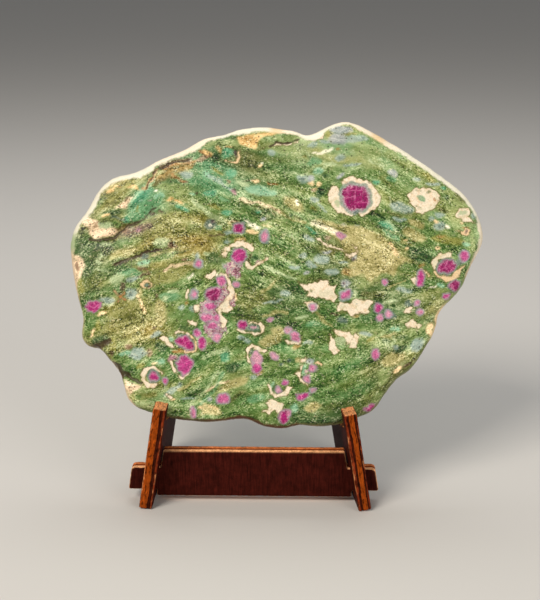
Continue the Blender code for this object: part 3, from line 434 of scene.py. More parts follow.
# Clear-edged patches, mostly feldspar: (tint, outline of (u, v) points).
PATCHES = [
    # round the great ruby, open at its upper left and at its foot
    ("cream", [(25.4, 95.1), (26.7, 96.4), (29.3, 96.9), (32.8, 96.4), (35.4, 95.1), (37.3, 93.5),
               (38.9, 91.2), (40.8, 88.6), (39.8, 86.4), (38.2, 84.4), (35.0, 82.5), (32.2, 82.0),
               (31.0, 83.6), (30.0, 83.4), (29.0, 82.0), (25.8, 82.5), (23.5, 83.5), (21.6, 85.1),
               (20.6, 86.7), (20.0, 88.6), (20.2, 91.2), (21.3, 92.8), (22.9, 93.5), (24.0, 92.5),
               (24.6, 91.0), (26.4, 92.8)]),
    # two right of the middle, and one in three parts above the foot
    ("cream", [(9.0, 56.2), (11.0, 55.0), (14.0, 55.3), (17.5, 56.6), (20.0, 56.8), (20.6, 55.0),
               (23.0, 54.3), (22.6, 52.8), (23.3, 50.5), (22.6, 48.9), (20.2, 49.0), (17.0, 49.9),
               (14.5, 50.3), (12.1, 50.9), (12.3, 52.3), (10.6, 53.2), (10.5, 54.6)]),
    ("cream", [(24.6, 47.4), (25.6, 48.6), (28.8, 48.3), (30.3, 49.6), (32.6, 49.7), (35.8, 49.6),
               (37.4, 48.6), (36.2, 47.4), (35.4, 45.8), (36.0, 44.6), (34.8, 43.8), (32.9, 44.2),
               (31.0, 43.9), (29.1, 43.2), (27.8, 45.2), (25.5, 45.0), (23.7, 44.8)]),
    ("cream", [(22.0, 37.6), (25.0, 37.6), (28.0, 36.8), (29.2, 35.2), (28.6, 33.4), (27.6, 32.8),
               (26.5, 34.5), (24.5, 35.8), (22.8, 36.2)]),
    ("cream", [(20.8, 35.8), (22.6, 33.8), (23.2, 31.6), (25.0, 29.8), (22.5, 28.4), (20.6, 30.2),
               (20.9, 33.0)]),
    ("cream", [(30.3, 35.9), (31.8, 34.9), (32.0, 32.9), (30.4, 30.8), (28.6, 31.4), (29.0, 34.0)]),
    # upper right, with its inlays in INLAYS
    ("cream", [(50.7, 89.9), (51.0, 88.0), (52.3, 86.4), (53.3, 85.1), (53.6, 83.5), (56.5, 82.8),
               (59.4, 84.1), (61.0, 85.7), (62.2, 87.3), (62.9, 89.9), (61.3, 91.6), (59.4, 92.8),
               (56.8, 93.3), (54.2, 92.8), (53.0, 91.6), (51.4, 90.9)]),
    ("cream", [(69.1, 82.7), (70.2, 84.4), (72.3, 85.2), (74.6, 85.0), (74.9, 83.0), (73.8, 81.8),
               (76.1, 79.3), (73.8, 79.7), (71.1, 80.6), (69.7, 81.5)]),
    ("peach", [(69.4, 76.2), (71.2, 76.1), (72.9, 77.0), (74.6, 76.2), (74.3, 74.4), (72.6, 74.4),
               (71.1, 75.3)]),
    # crescents round the rubies of the right edge
    ("cream", [(59.4, 63.4), (60.6, 65.5), (62.9, 67.3), (65.5, 67.8), (67.9, 67.2), (67.6, 65.6),
               (65.0, 65.6), (62.4, 64.8), (61.2, 62.8), (61.4, 61.2), (60.2, 61.4)]),
    ("peach", [(60.2, 61.4), (61.5, 59.3), (64.0, 57.5), (66.0, 56.4), (68.8, 57.5), (71.1, 59.9),
               (72.8, 62.9), (71.4, 62.6), (70.0, 61.0), (67.8, 59.6), (65.5, 58.6), (63.2, 59.2),
               (61.6, 61.2)]),
    ("cream", [(51.8, 57.3), (53.6, 58.8), (54.2, 57.0), (54.2, 55.0), (53.0, 55.6)]),
    # left of the chain of rubies
    ("cream", [(-27.4, 57.8), (-25.5, 59.1), (-23.9, 60.7), (-22.9, 60.0), (-23.2, 58.2), (-24.4, 56.9),
               (-26.4, 56.9)]),
    ("cream", [(-33.9, 40.9), (-31.7, 41.2), (-30.1, 40.3), (-30.4, 38.7), (-32.7, 39.9)]),
    ("cream", [(-44.4, 34.0), (-42.5, 35.2), (-41.5, 34.6), (-40.9, 33.0), (-39.3, 31.8), (-37.7, 30.4),
               (-39.6, 30.3), (-41.5, 31.6), (-42.8, 33.0)]),
    ("cream", [(-31.6, 46.8), (-29.6, 47.2), (-28.8, 45.4), (-29.8, 44.0), (-31.0, 44.8)]),
    ("cream", [(-20.6, 48.0), (-17.6, 48.2), (-16.8, 46.0), (-18.4, 44.4), (-20.8, 44.8)]),
    # round the two rubies at the foot's left
    ("cream", [(-52.3, 19.4), (-51.7, 21.3), (-49.8, 22.9), (-46.9, 23.6), (-44.4, 22.3), (-42.3, 20.5),
               (-43.6, 20.2), (-45.2, 21.6), (-47.0, 22.3), (-49.4, 21.4), (-50.3, 19.4), (-49.6, 17.4),
               (-46.6, 17.2), (-44.6, 16.8), (-46.0, 14.7), (-49.5, 15.6), (-51.5, 17.2)]),
    # left of the ruby with a pale body, and its fellows at the foot
    ("cream", [(-11.2, 30.4), (-10.6, 31.8), (-8.9, 32.2), (-6.7, 31.5), (-4.6, 30.2), (-3.0, 29.7),
               (-4.8, 28.6), (-6.7, 29.6), (-8.4, 30.9), (-10.0, 31.0), (-10.4, 28.0), (-9.2, 25.2),
               (-9.2, 24.2), (-10.4, 25.2), (-11.2, 27.4)]),
    ("cream", [(-2.4, 16.9), (-2.7, 14.6), (-1.4, 12.7), (0.8, 11.9), (3.2, 12.1), (5.3, 13.4), (7.0, 15.8),
               (4.8, 15.9), (3.7, 14.6), (2.5, 13.5), (1.2, 13.0), (-0.4, 13.7), (-1.3, 15.4)]),
    ("cream", [(-3.2, 9.5), (-0.9, 11.4), (1.0, 10.4), (3.1, 9.3), (2.9, 6.9), (1.2, 5.6), (-0.2, 7.4),
               (-2.4, 5.7), (-4.4, 6.6), (-1.8, 8.2)]),
    ("cream", [(49.7, 40.9), (52.6, 41.4), (56.0, 40.0), (54.8, 38.8), (51.0, 39.0)]),
    ("cream", [(11.4, 47.9), (14.1, 48.8), (16.8, 46.6), (14.7, 44.1), (12.6, 45.6)]),
    # along the seam under the top
    ("cream", [(13.0, 112.8), (15.6, 114.0), (18.4, 115.4), (18.0, 111.6), (15.2, 111.0), (12.6, 111.4)]),
]

# Patches that keep the grain of the ground: (tint, outline of (u, v) points).
STAINS = [
    ("blush", [(-75.2, 81.0), (-73.0, 81.5), (-69.5, 79.6), (-66.3, 77.0), (-61.1, 76.0), (-62.8, 74.1),
               (-66.3, 73.1), (-70.4, 72.5), (-72.0, 74.1), (-72.7, 76.4), (-75.6, 78.8)]),
    ("jade", [(-57.6, 79.0), (-56.2, 81.6), (-54.2, 84.2), (-51.8, 86.8), (-49.2, 89.2), (-46.9, 90.3),
              (-44.8, 90.0), (-43.4, 88.8), (-44.8, 86.6), (-47.4, 84.6), (-49.6, 82.9), (-51.4, 80.7),
              (-54.5, 79.1)]),
    ("bronze", [(-47.6, 93.2), (-46.4, 96.0), (-44.6, 98.6), (-40.6, 100.6), (-35.4, 101.8), (-30.6, 102.6),
                (-31.4, 100.8), (-36.0, 99.2), (-40.0, 97.4), (-43.4, 95.4), (-45.8, 93.0)]),
    ("amber", [(-58.4, 92.9), (-56.6, 93.4), (-54.0, 93.2), (-52.4, 92.0), (-54.8, 91.5), (-56.9, 92.2)]),
    ("blush", [(-63.2, 84.3), (-61.2, 85.8), (-59.3, 87.3), (-56.6, 88.7), (-54.7, 89.6), (-55.6, 88.0),
               (-57.4, 86.4), (-58.0, 84.8), (-59.8, 83.8), (-61.6, 84.4)]),
    ("amber", [(-15.4, 112.5), (-10.9, 113.6), (-6.8, 114.0), (-1.3, 114.3), (0.6, 113.9), (-2.0, 112.6),
               (-6.2, 112.1), (-7.1, 109.5), (-8.1, 107.8), (-10.9, 108.4), (-13.8, 109.5)]),
    ("blush", [(-79.0, 66.3), (-76.9, 66.6), (-75.3, 65.0), (-73.0, 62.1), (-73.7, 60.5), (-75.3, 57.6),
               (-77.2, 55.6), (-78.5, 59.9)]),
    ("blush", [(-58.4, 18.1), (-55.4, 17.0), (-50.9, 16.1), (-53.9, 13.7), (-56.2, 12.1), (-58.4, 14.9)]),
    ("straw", [(-28.8, 10.2), (-27.2, 9.8), (-24.6, 7.6), (-21.0, 7.4), (-20.0, 5.8), (-23.0, 4.6),
               (-28.4, 4.8), (-27.2, 7.0)]),
    ("tan", [(15.0, 80.6), (22.7, 79.0), (31.6, 77.8), (39.2, 75.5), (43.4, 71.8), (46.0, 68.0),
             (52.3, 64.3), (47.2, 62.2), (45.6, 58.4), (41.0, 59.6), (36.5, 56.2), (33.0, 59.4),
             (28.4, 57.8), (28.2, 62.8), (31.8, 66.4), (27.0, 68.4), (24.6, 72.0), (18.6, 76.4)]),
    ("tan", [(10.7, 8.0), (13.2, 9.6), (16.8, 9.8), (18.4, 8.6), (16.0, 6.9), (13.0, 6.4)]),
    ("mist", [(51.6, 31.1), (52.6, 33.7), (54.1, 35.3), (56.4, 34.9), (57.5, 33.4), (56.4, 31.1),
              (54.5, 29.6), (52.2, 29.6)]),
    ("mist", [(-56.5, 27.3), (-54.9, 30.2), (-53.3, 31.0), (-50.7, 30.5), (-49.1, 28.9), (-50.1, 27.3),
              (-52.0, 25.7), (-54.6, 26.3)]),
]

# Clear-edged threads and arcs: (tint, half width, points).
THREADS = [
    ("cream", 0.80, [(-20.4, 66.4), (-20.1, 67.7), (-17.9, 69.7), (-15.3, 70.8), (-12.4, 70.9),
                     (-10.2, 70.0)]),
    ("cream", 0.95, [(-11.6, 70.0), (-10.4, 69.0), (-9.4, 68.6)]),
    ("cream", 0.60, [(-11.1, 63.6), (-10.9, 62.2), (-9.6, 61.3), (-7.6, 62.3), (-5.4, 63.9), (-3.6, 65.2)]),
    ("cream", 0.60, [(-21.1, 58.8), (-19.1, 57.8), (-17.9, 55.9), (-17.2, 53.7)]),
    ("cream", 0.85, [(-17.2, 53.7), (-17.2, 51.4), (-18.2, 49.5), (-20.4, 47.2)]),
    ("cream", 0.85, [(-20.4, 47.2), (-21.8, 45.0), (-21.0, 42.6), (-19.6, 40.8), (-20.1, 39.0)]),
    ("cream", 0.40, [(-38.6, 35.6), (-38.0, 36.5), (-36.4, 36.9), (-34.8, 36.2), (-33.7, 35.0)]),
    ("peach", 0.50, [(-34.6, 29.1), (-32.6, 28.9), (-30.9, 29.2), (-30.3, 30.5), (-30.8, 33.0),
                     (-32.0, 34.4)]),
    ("cream", 0.50, [(-40.0, 25.4), (-38.9, 22.5), (-37.7, 20.6), (-35.1, 19.1), (-33.1, 20.8)]),
    ("cream", 0.40, [(-14.3, 37.7), (-12.4, 37.5), (-10.5, 36.4), (-7.9, 35.5), (-5.4, 36.3)]),
    ("cream", 0.70, [(-5.4, 36.3), (-4.6, 38.1), (-5.8, 40.0)]),
    ("cream", 0.40, [(-5.8, 40.0), (-7.9, 40.9), (-9.4, 40.4)]),
    ("cream", 0.60, [(4.2, 33.6), (5.8, 32.8), (7.6, 32.6), (9.4, 34.2)]),
    ("cream", 0.40, [(12.0, 26.6), (10.4, 25.6), (9.5, 23.6), (9.0, 20.7), (10.2, 18.2), (12.4, 16.8)]),
    ("peach", 0.60, [(16.0, 25.2), (17.2, 24.6)]),
    ("peach", 0.45, [(-14.8, 106.6), (-14.7, 104.4), (-16.1, 102.5), (-18.0, 102.6), (-19.4, 103.2)]),
    ("cream", 0.35, [(16.7, 72.3), (19.2, 70.5), (22.4, 69.4), (25.9, 68.8), (27.5, 66.6), (29.1, 66.2),
                     (31.3, 67.5), (30.6, 69.6), (29.4, 70.4)]),
    ("peach", 0.35, [(55.9, 61.3), (57.6, 60.8), (59.1, 58.4)]),
    ("peach", 0.35, [(-51.4, 54.7), (-50.9, 56.0), (-49.5, 56.4), (-48.0, 55.6), (-47.8, 54.0),
                     (-49.2, 53.1), (-50.8, 53.4), (-51.4, 54.7)]),
    ("cream", 0.30, [(-0.7, 109.6), (2.6, 109.9), (5.0, 109.7), (8.3, 110.6)]),
    ("cream", 0.40, [(-34.1, 52.2), (-34.2, 50.2)]),
    ("cream", 0.40, [(52.3, 46.3), (49.6, 44.6), (51.8, 44.8)]),
    ("cream", 0.50, [(-41.4, 12.6), (-39.8, 11.4)]),
    ("copper", 0.20, [(-62.4, 51.8), (-60.2, 50.5), (-57.9, 48.9)]),
    ("copper", 0.20, [(-60.6, 48.2), (-60.2, 50.5), (-58.2, 51.9)]),
]

# Small clear-edged minerals, over the feldspar as well: (u, v, half across, half up, turn) by tint.
INLAYS = {
    "jade": [
        (55.8, 88.8, 2.1, 1.1, -30),
    ],
    "moss": [
        (59.0, 91.3, 1.0, 0.9, 0), (54.8, 91.7, 1.2, 0.5, 10), (54.7, 85.4, 1.3, 0.3, -30),
        (26.2, 44.6, 1.9, 0.3, 3), (36.0, 94.2, 0.6, 0.4, -35), (13.2, 53.0, 0.7, 0.7, 0),
    ],
    "copper": [
        (-60.2, 50.5, 0.9, 0.7, 0), (61.0, 88.2, 0.9, 0.7, 0), (-4.8, 64.5, 1.2, 0.4, 35),
        (-38.0, 28.9, 1.4, 0.4, 0),
    ],
    "pale": [
        (72.0, 83.3, 1.7, 1.1, 0), (24.8, 33.9, 2.2, 1.5, 0), (23.4, 86.2, 1.0, 1.4, 20),
        (-67.0, 77.6, 2.4, 0.9, -20),
    ],
    "slate": [
        (72.0, 83.5, 0.4, 0.3, 0), (30.7, 47.4, 0.4, 0.3, 0), (-50.0, 54.7, 1.0, 0.9, 0),
        (-26.0, 53.0, 0.6, 0.5, 0), (30.4, 83.4, 1.2, 0.5, 10),
    ],
    "plum": [
        (-48.8, 54.2, 0.7, 0.8, 0), (73.0, 75.8, 0.6, 0.5, -20),
    ],
    "lilac": [
        (30.6, 82.6, 0.9, 0.9, 0),
    ],
    "pine": [
        (-7.3, 36.9, 1.5, 0.8, 10), (6.7, 25.5, 0.7, 0.6, 0), (-0.1, 15.4, 1.3, 1.6, 0),
    ],
    "lime": [
        (-53.7, 83.8, 0.5, 1.3, -15),
    ],
    "rose": [
        (-48.6, 87.4, 0.8, 0.4, 10), (-8.3, 38.1, 1.0, 0.7, 0),
    ],
    "rust": [
        (-76.8, 61.4, 1.0, 1.8, 0), (-55.6, 15.4, 0.9, 0.5, 20), (-69.6, 79.0, 0.5, 0.3, 0),
    ],
    "mint": [
        (-0.9, 16.0, 0.7, 1.3, 0), (-46.0, 89.2, 1.4, 0.8, 20), (-52.5, 87.0, 1.0, 0.5, 40),
    ],
}

# Rim, pale rind with a painted highlight along the top and painted shade along the foot: (u, v, its width
# there, tint).
RIM_AND_EDGE_LIGHT = [
    (-72, 85, 2.5, "white"), (-66, 93, 1.8, "white"), (-60, 96, 2.4, "white"), (-50, 98, 3.4, "white"),
    (-45, 101, 2.2, "cream"), (-40, 104, 2.2, "cream"), (-35, 106, 2.6, "cream"), (-30, 108, 3.0, "cream"),
    (-25, 110, 1.8, "cream"), (-20, 112, 1.5, "white"), (-12, 115, 2.4, "white"), (-5, 116, 2.1, "white"),
    (0, 115.5, 2.3, "peach"), (5, 115, 1.6, "cream"), (10, 114, 1.5, "white"), (15, 114, 3.4, "white"),
    (20, 116, 1.6, "white"), (26.5, 118.5, 1.4, "cream"), (35, 116, 2.4, "cream"), (40, 113, 2.6, "peach"),
    (45, 110, 3.0, "cream"), (50, 107, 2.4, "white"), (60, 100.5, 2.2, "white"), (70, 93, 2.0, "white"),
    (75, 87, 1.8, "white"), (77.6, 82, 1.6, "white"), (80, 77, 2.3, "cream"), (79.3, 73, 1.4, "cream"),
    (78, 68, 1.1, "cream"), (75, 62, 0.6, "blush"), (70, 53, 0.4, "sage"), (61.5, 42, 0.7, "peach"),
    (56, 28, 0.5, "moss"), (44, 16, 0.5, "moss"), (32, 4, 0.5, "moss"), (15, 1, 0.5, "moss"),
    (4, 0, 0.9, "shaded_foot_maroon"), (-8, 2, 0.9, "shaded_foot_maroon"), (-20, 3, 0.8, "shaded_foot_maroon"), (-32, 3, 0.6, "bark"),
    (-48, 6, 0.5, "moss"), (-57, 12, 0.8, "blush"), (-60, 20, 0.6, "bark"), (-67, 29, 0.7, "bark"),
    (-74, 35, 0.7, "tan"), (-76, 45, 0.7, "tan"), (-78, 56, 1.0, "blush"), (-79.5, 64, 1.2, "blush"),
    (-79.5, 71, 2.0, "pale"), (-78, 78, 1.8, "white"),
]

# Brown seams and crevices of the front, their dark brown partly painted shade in the grooves: (half width,
# depth, points).
SEAMS = [
    (0.35, 0.5, [(-71.9, 72.3), (-67.6, 72.0), (-63.3, 72.8), (-60.6, 74.9), (-57.6, 77.4), (-54.0, 78.8)]),
    (0.15, 0.4, [(-54.0, 78.8), (-51.2, 80.5), (-49.2, 82.8), (-46.0, 84.6)]),
    (0.15, 0.3, [(-50.8, 91.2), (-48.9, 95.2), (-47.2, 98.6), (-45.8, 100.4)]),
    (0.25, 0.4, [(-45.4, 99.6), (-42.8, 101.1), (-40.0, 102.2), (-36.8, 102.9), (-33.5, 103.6)]),
    (0.15, 0.3, [(-62.0, 62.7), (-54.3, 65.8), (-46.6, 68.2), (-44.0, 68.6)]),
    (0.9, 0.8, [(-62.5, 24.1), (-59.6, 21.6), (-56.4, 20.0)]),
    (0.4, 0.6, [(-56.4, 20.0), (-54.5, 18.4), (-51.3, 16.8)]),
    (0.25, 0.4, [(-2.6, 108.9), (0.0, 110.4), (3.8, 110.3), (6.3, 110.7), (8.6, 111.6)]),
    (0.9, 0.5, [(-69.5, 31.0), (-67.0, 32.0), (-63.5, 33.4)]),
    (0.1, 0.2, [(-70.5, 29.8), (-66.0, 31.0), (-62.0, 30.6)]),
]

# Great rubies, by outline: (depth of colour, grey rim, outline).
RUBY_OUTLINES = [
    (0.88, 1.7, [(26.4, 92.3), (28.0, 93.2), (30.9, 93.1), (33.7, 92.5), (35.3, 90.7), (35.6, 87.7),
                 (34.3, 85.3), (31.8, 84.5), (29.6, 84.2), (27.1, 84.9), (25.8, 87.0), (25.6, 90.0)]),
    (0.88, 0.9, [(62.6, 63.4), (65.0, 64.6), (67.4, 64.3), (69.1, 63.1), (68.2, 61.1), (65.6, 59.6),
                 (63.5, 60.2), (62.3, 61.8)]),
    (0.75, 0.6, [(-37.9, 32.7), (-36.6, 34.5), (-34.7, 35.0), (-33.1, 33.7), (-31.5, 31.6), (-32.2, 29.8),
                 (-33.9, 29.7), (-36.3, 31.0)]),
    (0.55, 0.6, [(-37.8, 24.6), (-36.4, 27.2), (-34.5, 27.7), (-31.6, 25.0), (-32.4, 22.2), (-34.8, 20.0),
                 (-36.6, 21.9)]),
    (0.66, 1.3, [(-48.2, 19.6), (-47.3, 21.0), (-45.8, 20.6), (-45.1, 19.1), (-45.8, 18.1), (-47.4, 18.2)]),
    (0.65, 0.3, [(34.3, 7.6), (36.1, 9.2), (38.5, 9.7), (38.2, 7.4), (36.7, 6.0)]),
]
# Lesser rubies: (u, v, half across, half up, turn, depth of colour, grey rim).
RUBIES = [
    # right edge, and right of the middle
    (72.3, 66.4, 1.5, 1.5, 0, 0.46, 0.9), (68.8, 55.0, 1.9, 2.0, -30, 0.90, 0.8),
    (65.6, 50.8, 1.2, 0.8, 0, 0.50, 0.5), (55.6, 57.8, 1.4, 3.0, -8, 0.55, 0.7),
    (41.8, 56.0, 0.8, 0.8, 0, 0.35, 0.4), (54.5, 48.2, 0.9, 1.0, 0, 0.30, 0.7),
    (55.4, 44.7, 1.0, 0.8, 0, 0.30, 0.7), (39.4, 46.5, 1.4, 1.6, 0, 0.60, 0.7),
    (40.0, 42.8, 1.1, 1.1, 0, 0.27, 0.5), (43.4, 43.9, 0.9, 1.2, 10, 0.18, 0.8),
    (26.8, 51.4, 1.9, 1.2, 35, 0.42, 1.1), (14.4, 46.4, 0.9, 0.9, 0, 0.30, 0.9),
    (38.1, 28.3, 1.3, 1.8, 0, 0.40, 0.4), (25.0, 74.3, 1.6, 1.0, -20, 0.20, 0.4),
    # the chain that runs down left of the middle
    (-14.5, 76.9, 1.9, 1.8, 0, 0.85, 1.0), (-4.4, 73.5, 1.2, 1.6, 0, 0.26, 1.1),
    (-14.3, 66.2, 2.6, 2.8, 20, 0.60, 0.8), (-20.9, 56.4, 1.2, 2.0, 20, 0.40, 0.5),
    (-23.9, 51.3, 2.9, 2.5, 15, 0.92, 0.6), (-15.1, 55.1, 1.1, 0.9, 0, 0.25, 0.5),
    (-25.2, 46.4, 2.0, 1.3, 0, 0.45, 0.5), (-26.2, 42.2, 2.2, 1.5, 0, 0.38, 0.5),
    (-22.6, 42.0, 1.0, 1.1, 0, 0.40, 0.4), (-24.1, 38.8, 1.6, 1.2, 0, 0.42, 0.4),
    (-29.7, 35.8, 1.1, 1.4, 0, 0.45, 0.5), (-27.9, 32.3, 1.4, 2.1, 0, 0.60, 0.4),
    (-22.2, 34.6, 1.2, 1.7, 0, 0.25, 0.4), (-30.2, 63.1, 0.8, 0.9, 0, 0.40, 1.2),
    (-31.4, 51.2, 0.8, 1.1, 0, 0.30, 1.2), (-42.0, 17.8, 0.9, 1.2, 0, 0.46, 0.6),
    (-70.3, 46.2, 2.7, 1.8, 20, 0.66, 0.4),
    # between the chain and the foot
    (-12.5, 39.6, 1.7, 1.1, 15, 0.70, 0.5), (-1.8, 41.9, 0.6, 0.5, 25, 0.25, 0.4),
    (5.1, 37.4, 1.0, 1.1, 0, 0.10, 0.6), (7.6, 35.1, 1.2, 1.6, 20, 0.32, 0.5),
    (-7.2, 26.6, 1.6, 2.4, 10, 0.14, 0.4), (-7.0, 23.0, 1.7, 1.6, 0, 0.55, 0.4),
    (-0.5, 27.6, 1.3, 0.8, -30, 0.10, 0.4), (-19.8, 11.2, 2.1, 1.6, 15, 0.42, 0.6),
    (-31.1, 5.7, 0.8, 2.0, 0, 0.30, 0.5), (1.3, 14.7, 0.6, 0.9, 0, 0.15, 0.5),
    (3.9, 17.2, 0.7, 0.8, 0, 0.50, 0.3), (14.4, 23.0, 1.1, 1.4, 0, 0.34, 0.5),
    (12.5, 19.0, 1.1, 1.0, -30, 0.30, 0.5), (10.9, 12.6, 2.2, 1.2, 15, 0.60, 0.5),
    (14.7, 14.8, 0.8, 0.6, 45, 0.06, 0.6), (3.5, 4.3, 1.8, 2.1, 0, 0.74, 0.5),
    (5.0, 5.6, 1.0, 0.9, 0, 0.30, 0.4),
]
# Pale fractures across the rubies.
FRACTURES = [
    [(30.6, 93.8), (30.2, 89.0), (30.5, 83.6)], [(25.4, 88.6), (28.0, 89.1), (30.3, 89.6)],
    [(30.3, 87.0), (33.0, 87.3), (36.0, 87.0)], [(28.1, 93.8), (27.8, 91.2), (28.2, 89.1)],
    [(25.5, 91.4), (30.4, 91.7), (35.6, 91.2)], [(33.0, 93.4), (32.7, 90.0), (33.2, 87.3)],
    [(62.0, 61.0), (65.6, 62.2), (69.4, 61.9)], [(66.0, 65.0), (65.2, 62.1), (66.4, 59.4)],
    [(-38.0, 31.0), (-34.6, 32.4), (-31.4, 33.6)], [(-35.2, 35.2), (-34.9, 32.3), (-33.7, 29.4)],
    [(-37.8, 23.4), (-34.6, 24.6), (-31.6, 26.4)], [(-73.4, 46.4), (-70.4, 46.0), (-67.2, 47.4)],
    [(-26.8, 49.6), (-23.8, 51.8), (-21.0, 52.8)], [(-16.8, 65.0), (-14.2, 66.8), (-11.8, 67.4)],
]
# Strewn over the sawn back, which is seen only from behind: how many, least and greatest half width.
BACK_RUBIES = (26, 0.9, 3.4)
BACK_CREAMS = (12, 1.2, 4.0)

# ---------------------------------------------------------------- stand: how its plies lie

# Bands across each board from its -X (legs) or front (crossbar) face: (upper end of the band, tint).
PLIES = {
    "left_leg": [(0.07, "worn"), (0.58, "core"), (0.82, "glue"), (1.0, "skin")],
    "right_leg": [
        (0.04, "worn"), (0.22, "skin"), (0.39, "glue"), (0.74, "core"), (0.87, "glue"), (1.0, "skin"),
    ],
    "crossbar": [(0.40, "raw"), (0.60, "inner"), (1.0, "orange")],
}
PLY_TINTS = {
    "skin": "#782E14", "core": "#92400E", "glue": "#3A1408", "worn": "#DE8C56",
    "raw": "#FFBC86", "inner": "#7A2C08", "orange": "#D07A46",
}

PLY = 5.0  # thickness of every board
GLUE_RECESS = 0.14  # how far the dark plies are burnt back
CHIP_DEPTH = 0.38  # deepest chip out of an arris
CUT_FUZZ = 0.07  # how rough the cut edges are
BOARD_INSET = 0.02  # the whole board is this much thinner, so that it keeps inside its solid
VENEER = "#3B120C"
BARE_AND_LIT_WOOD = "#E8A26C"  # where the stain is chipped off, and painted light on the legs' cut faces that face up
WOOD_GRID = 0.42  # grid on which a board's mesh is laid anew
WOOD_GRAIN, WOOD_DASH, WOOD_MOTTLE = 0.6, 0.75, 2.6  # how wide the lumps of each noise are
FLECK_SHADE = {"left_leg": 0.35, "right_leg": 0.35, "crossbar": 0.8}  # darkest of the dashes on a cut edge

# ---------------------------------------------------------------- studio: paper and light

PAPER, ROOM, ROOM_LIGHT = "#CFCDC9", "#E8E8E8", 0.25
LAMP_AIM = (0, 0, 0.07)  # metres
LAMPS = [  # name, place and size in metres, power, colour
    ("key_left_above", (-0.55, -0.65, 0.95), (0.5, 0.5), 11.0, "#FFF6EA"),
    ("fill_right", (0.75, -0.75, 0.45), (0.6, 0.6), 4.0, "#FFF9F2"),
    ("top_behind", (0.0, 0.35, 0.8), (0.8, 0.3), 2.5, "#FFFFFF"),
]

# ---------------------------------------------------------------- helpers


def tint(code):
    """Linear colour of an sRGB hex value."""
    parts = [int(code[i:i + 2], 16) / 255 for i in (1, 3, 5)]
    return tuple(p / 12.92 if p <= 0.04045 else ((p + 0.055) / 1.055) ** 2.4 for p in parts) + (1.0,)


def add(tree, kind, inputs=(), out=0, **settings):
    """Adds a node with its settings, fills or links its inputs, and gives one of its outputs."""
    node = tree.nodes.new(kind)
    for name, value in settings.items():
        setattr(node, name, value)
    for key, value in inputs.items() if isinstance(inputs, dict) else enumerate(inputs):
        if isinstance(value, bpy.types.NodeSocket):
            tree.links.new(value, node.inputs[key])
        elif value is not None:
            node.inputs[key].default_value = value
    return node.outputs[out] if len(node.outputs) > out else node


def new_material(name):
    """An empty material and its node tree."""
    made = bpy.data.materials.new(name)
    made.use_nodes = True
    made.node_tree.nodes.clear()
    return made, made.node_tree


def soft_noise(points, size, seed):
    """Smooth noise of about -1 to 1 in lumps about size mm wide, for rows of two or three values."""
    spots = points / size
    cell = np.floor(spots).astype(np.int64)
    part = spots - cell
    part = part * part * (3 - 2 * part)
    total = np.zeros(len(points))
    for corner in np.ndindex(*(2,) * points.shape[1]):
        at = cell + np.array(corner)
        code = (at * np.array([374761393, 668265263, 1442695041])[:points.shape[1]]).sum(axis=1)
        code = (code + seed * 974634777) & 0xFFFFFFFF
        code = ((code ^ (code >> 13)) * 1274126177) & 0xFFFFFFFF
        code = code ^ (code >> 16)
        weight = np.where(np.array(corner, bool), part, 1 - part).prod(axis=1)
        total += weight * (code / 0xFFFFFFFF * 2 - 1)
    return total


def smoothly(value, low, high):
    """0 at low, 1 at high, and an easy curve between them."""
    share = np.clip((value - low) / (high - low), 0, 1)
    return share * share * (3 - 2 * share)


def turned(points, u, v, across, up, turn):
    """Points in an ellipse's own axes, with its rim at distance 1."""
    angle = math.radians(turn)
    du, dv = points[:, 0] - u, points[:, 1] - v
    x = du * math.cos(angle) + dv * math.sin(angle)
    y = dv * math.cos(angle) - du * math.sin(angle)
    return np.stack([x / across, y / up], axis=1)


def ellipse_gap(points, u, v, across, up, turn):
    """Distance outside an ellipse, negative within it."""
    own = turned(points, u, v, across, up, turn)
    reach = np.sqrt((own ** 2).sum(axis=1)) + 1e-6
    steep = np.sqrt(((own / np.array([across, up])) ** 2).sum(axis=1)) + 1e-6
    return reach * (reach - 1) / steep


def line_gap(points, line):
    """Distance from an open line."""
    start = np.array(line[:-1], float)
    along = np.array(line[1:], float) - start
    offset = points[:, None, :] - start[None]
    share = np.clip((offset * along).sum(axis=2) / (along ** 2).sum(axis=1), 0, 1)
    return np.sqrt(((offset - share[..., None] * along) ** 2).sum(axis=2)).min(axis=1)


def outline_gap(points, outline):
    """Distance outside a closed outline, negative within it."""
    ends = np.array(outline + outline[:1], float)
    inside = np.zeros(len(points), bool)
    for (u0, v0), (u1, v1) in zip(ends[:-1], ends[1:]):
        spans = (v0 > points[:, 1]) != (v1 > points[:, 1])
        crossing = (u1 - u0) * (points[:, 1] - v0) / (v1 - v0 + 1e-9) + u0
        inside ^= spans & (points[:, 0] < crossing)
    gap = line_gap(points, [tuple(end) for end in ends])
    return np.where(inside, -gap, gap)


def merged_copy(node_name, name):
    """A copy of a CAD node whose loose triangles are merged."""
    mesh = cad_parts[node_name].data.copy()
    mesh.materials.clear()
    copy = bpy.data.objects.new(name, mesh)
    bpy.context.scene.collection.objects.link(copy)
    shape = bmesh.new()
    shape.from_mesh(mesh)
    bmesh.ops.remove_doubles(shape, verts=shape.verts, dist=0.00001)
    shape.to_mesh(mesh)
    shape.free()
    return copy


def bake_modifiers(obj):
    """Puts the modifiers' result into the object's mesh."""
    graph = bpy.context.evaluated_depsgraph_get()
    mesh = bpy.data.meshes.new_from_object(obj.evaluated_get(graph))
    obj.modifiers.clear()
    old, obj.data = obj.data, mesh
    bpy.data.meshes.remove(old)


def get_points(mesh, what="co"):
    """The vertices' places or normals, a row each."""
    values = np.empty(len(mesh.vertices) * 3)
    mesh.vertices.foreach_get(what, values)
    return values.reshape(-1, 3)


def put_points(mesh, points):
    """Moves the vertices to new places."""
    mesh.vertices.foreach_set("co", points.ravel())
    mesh.update()


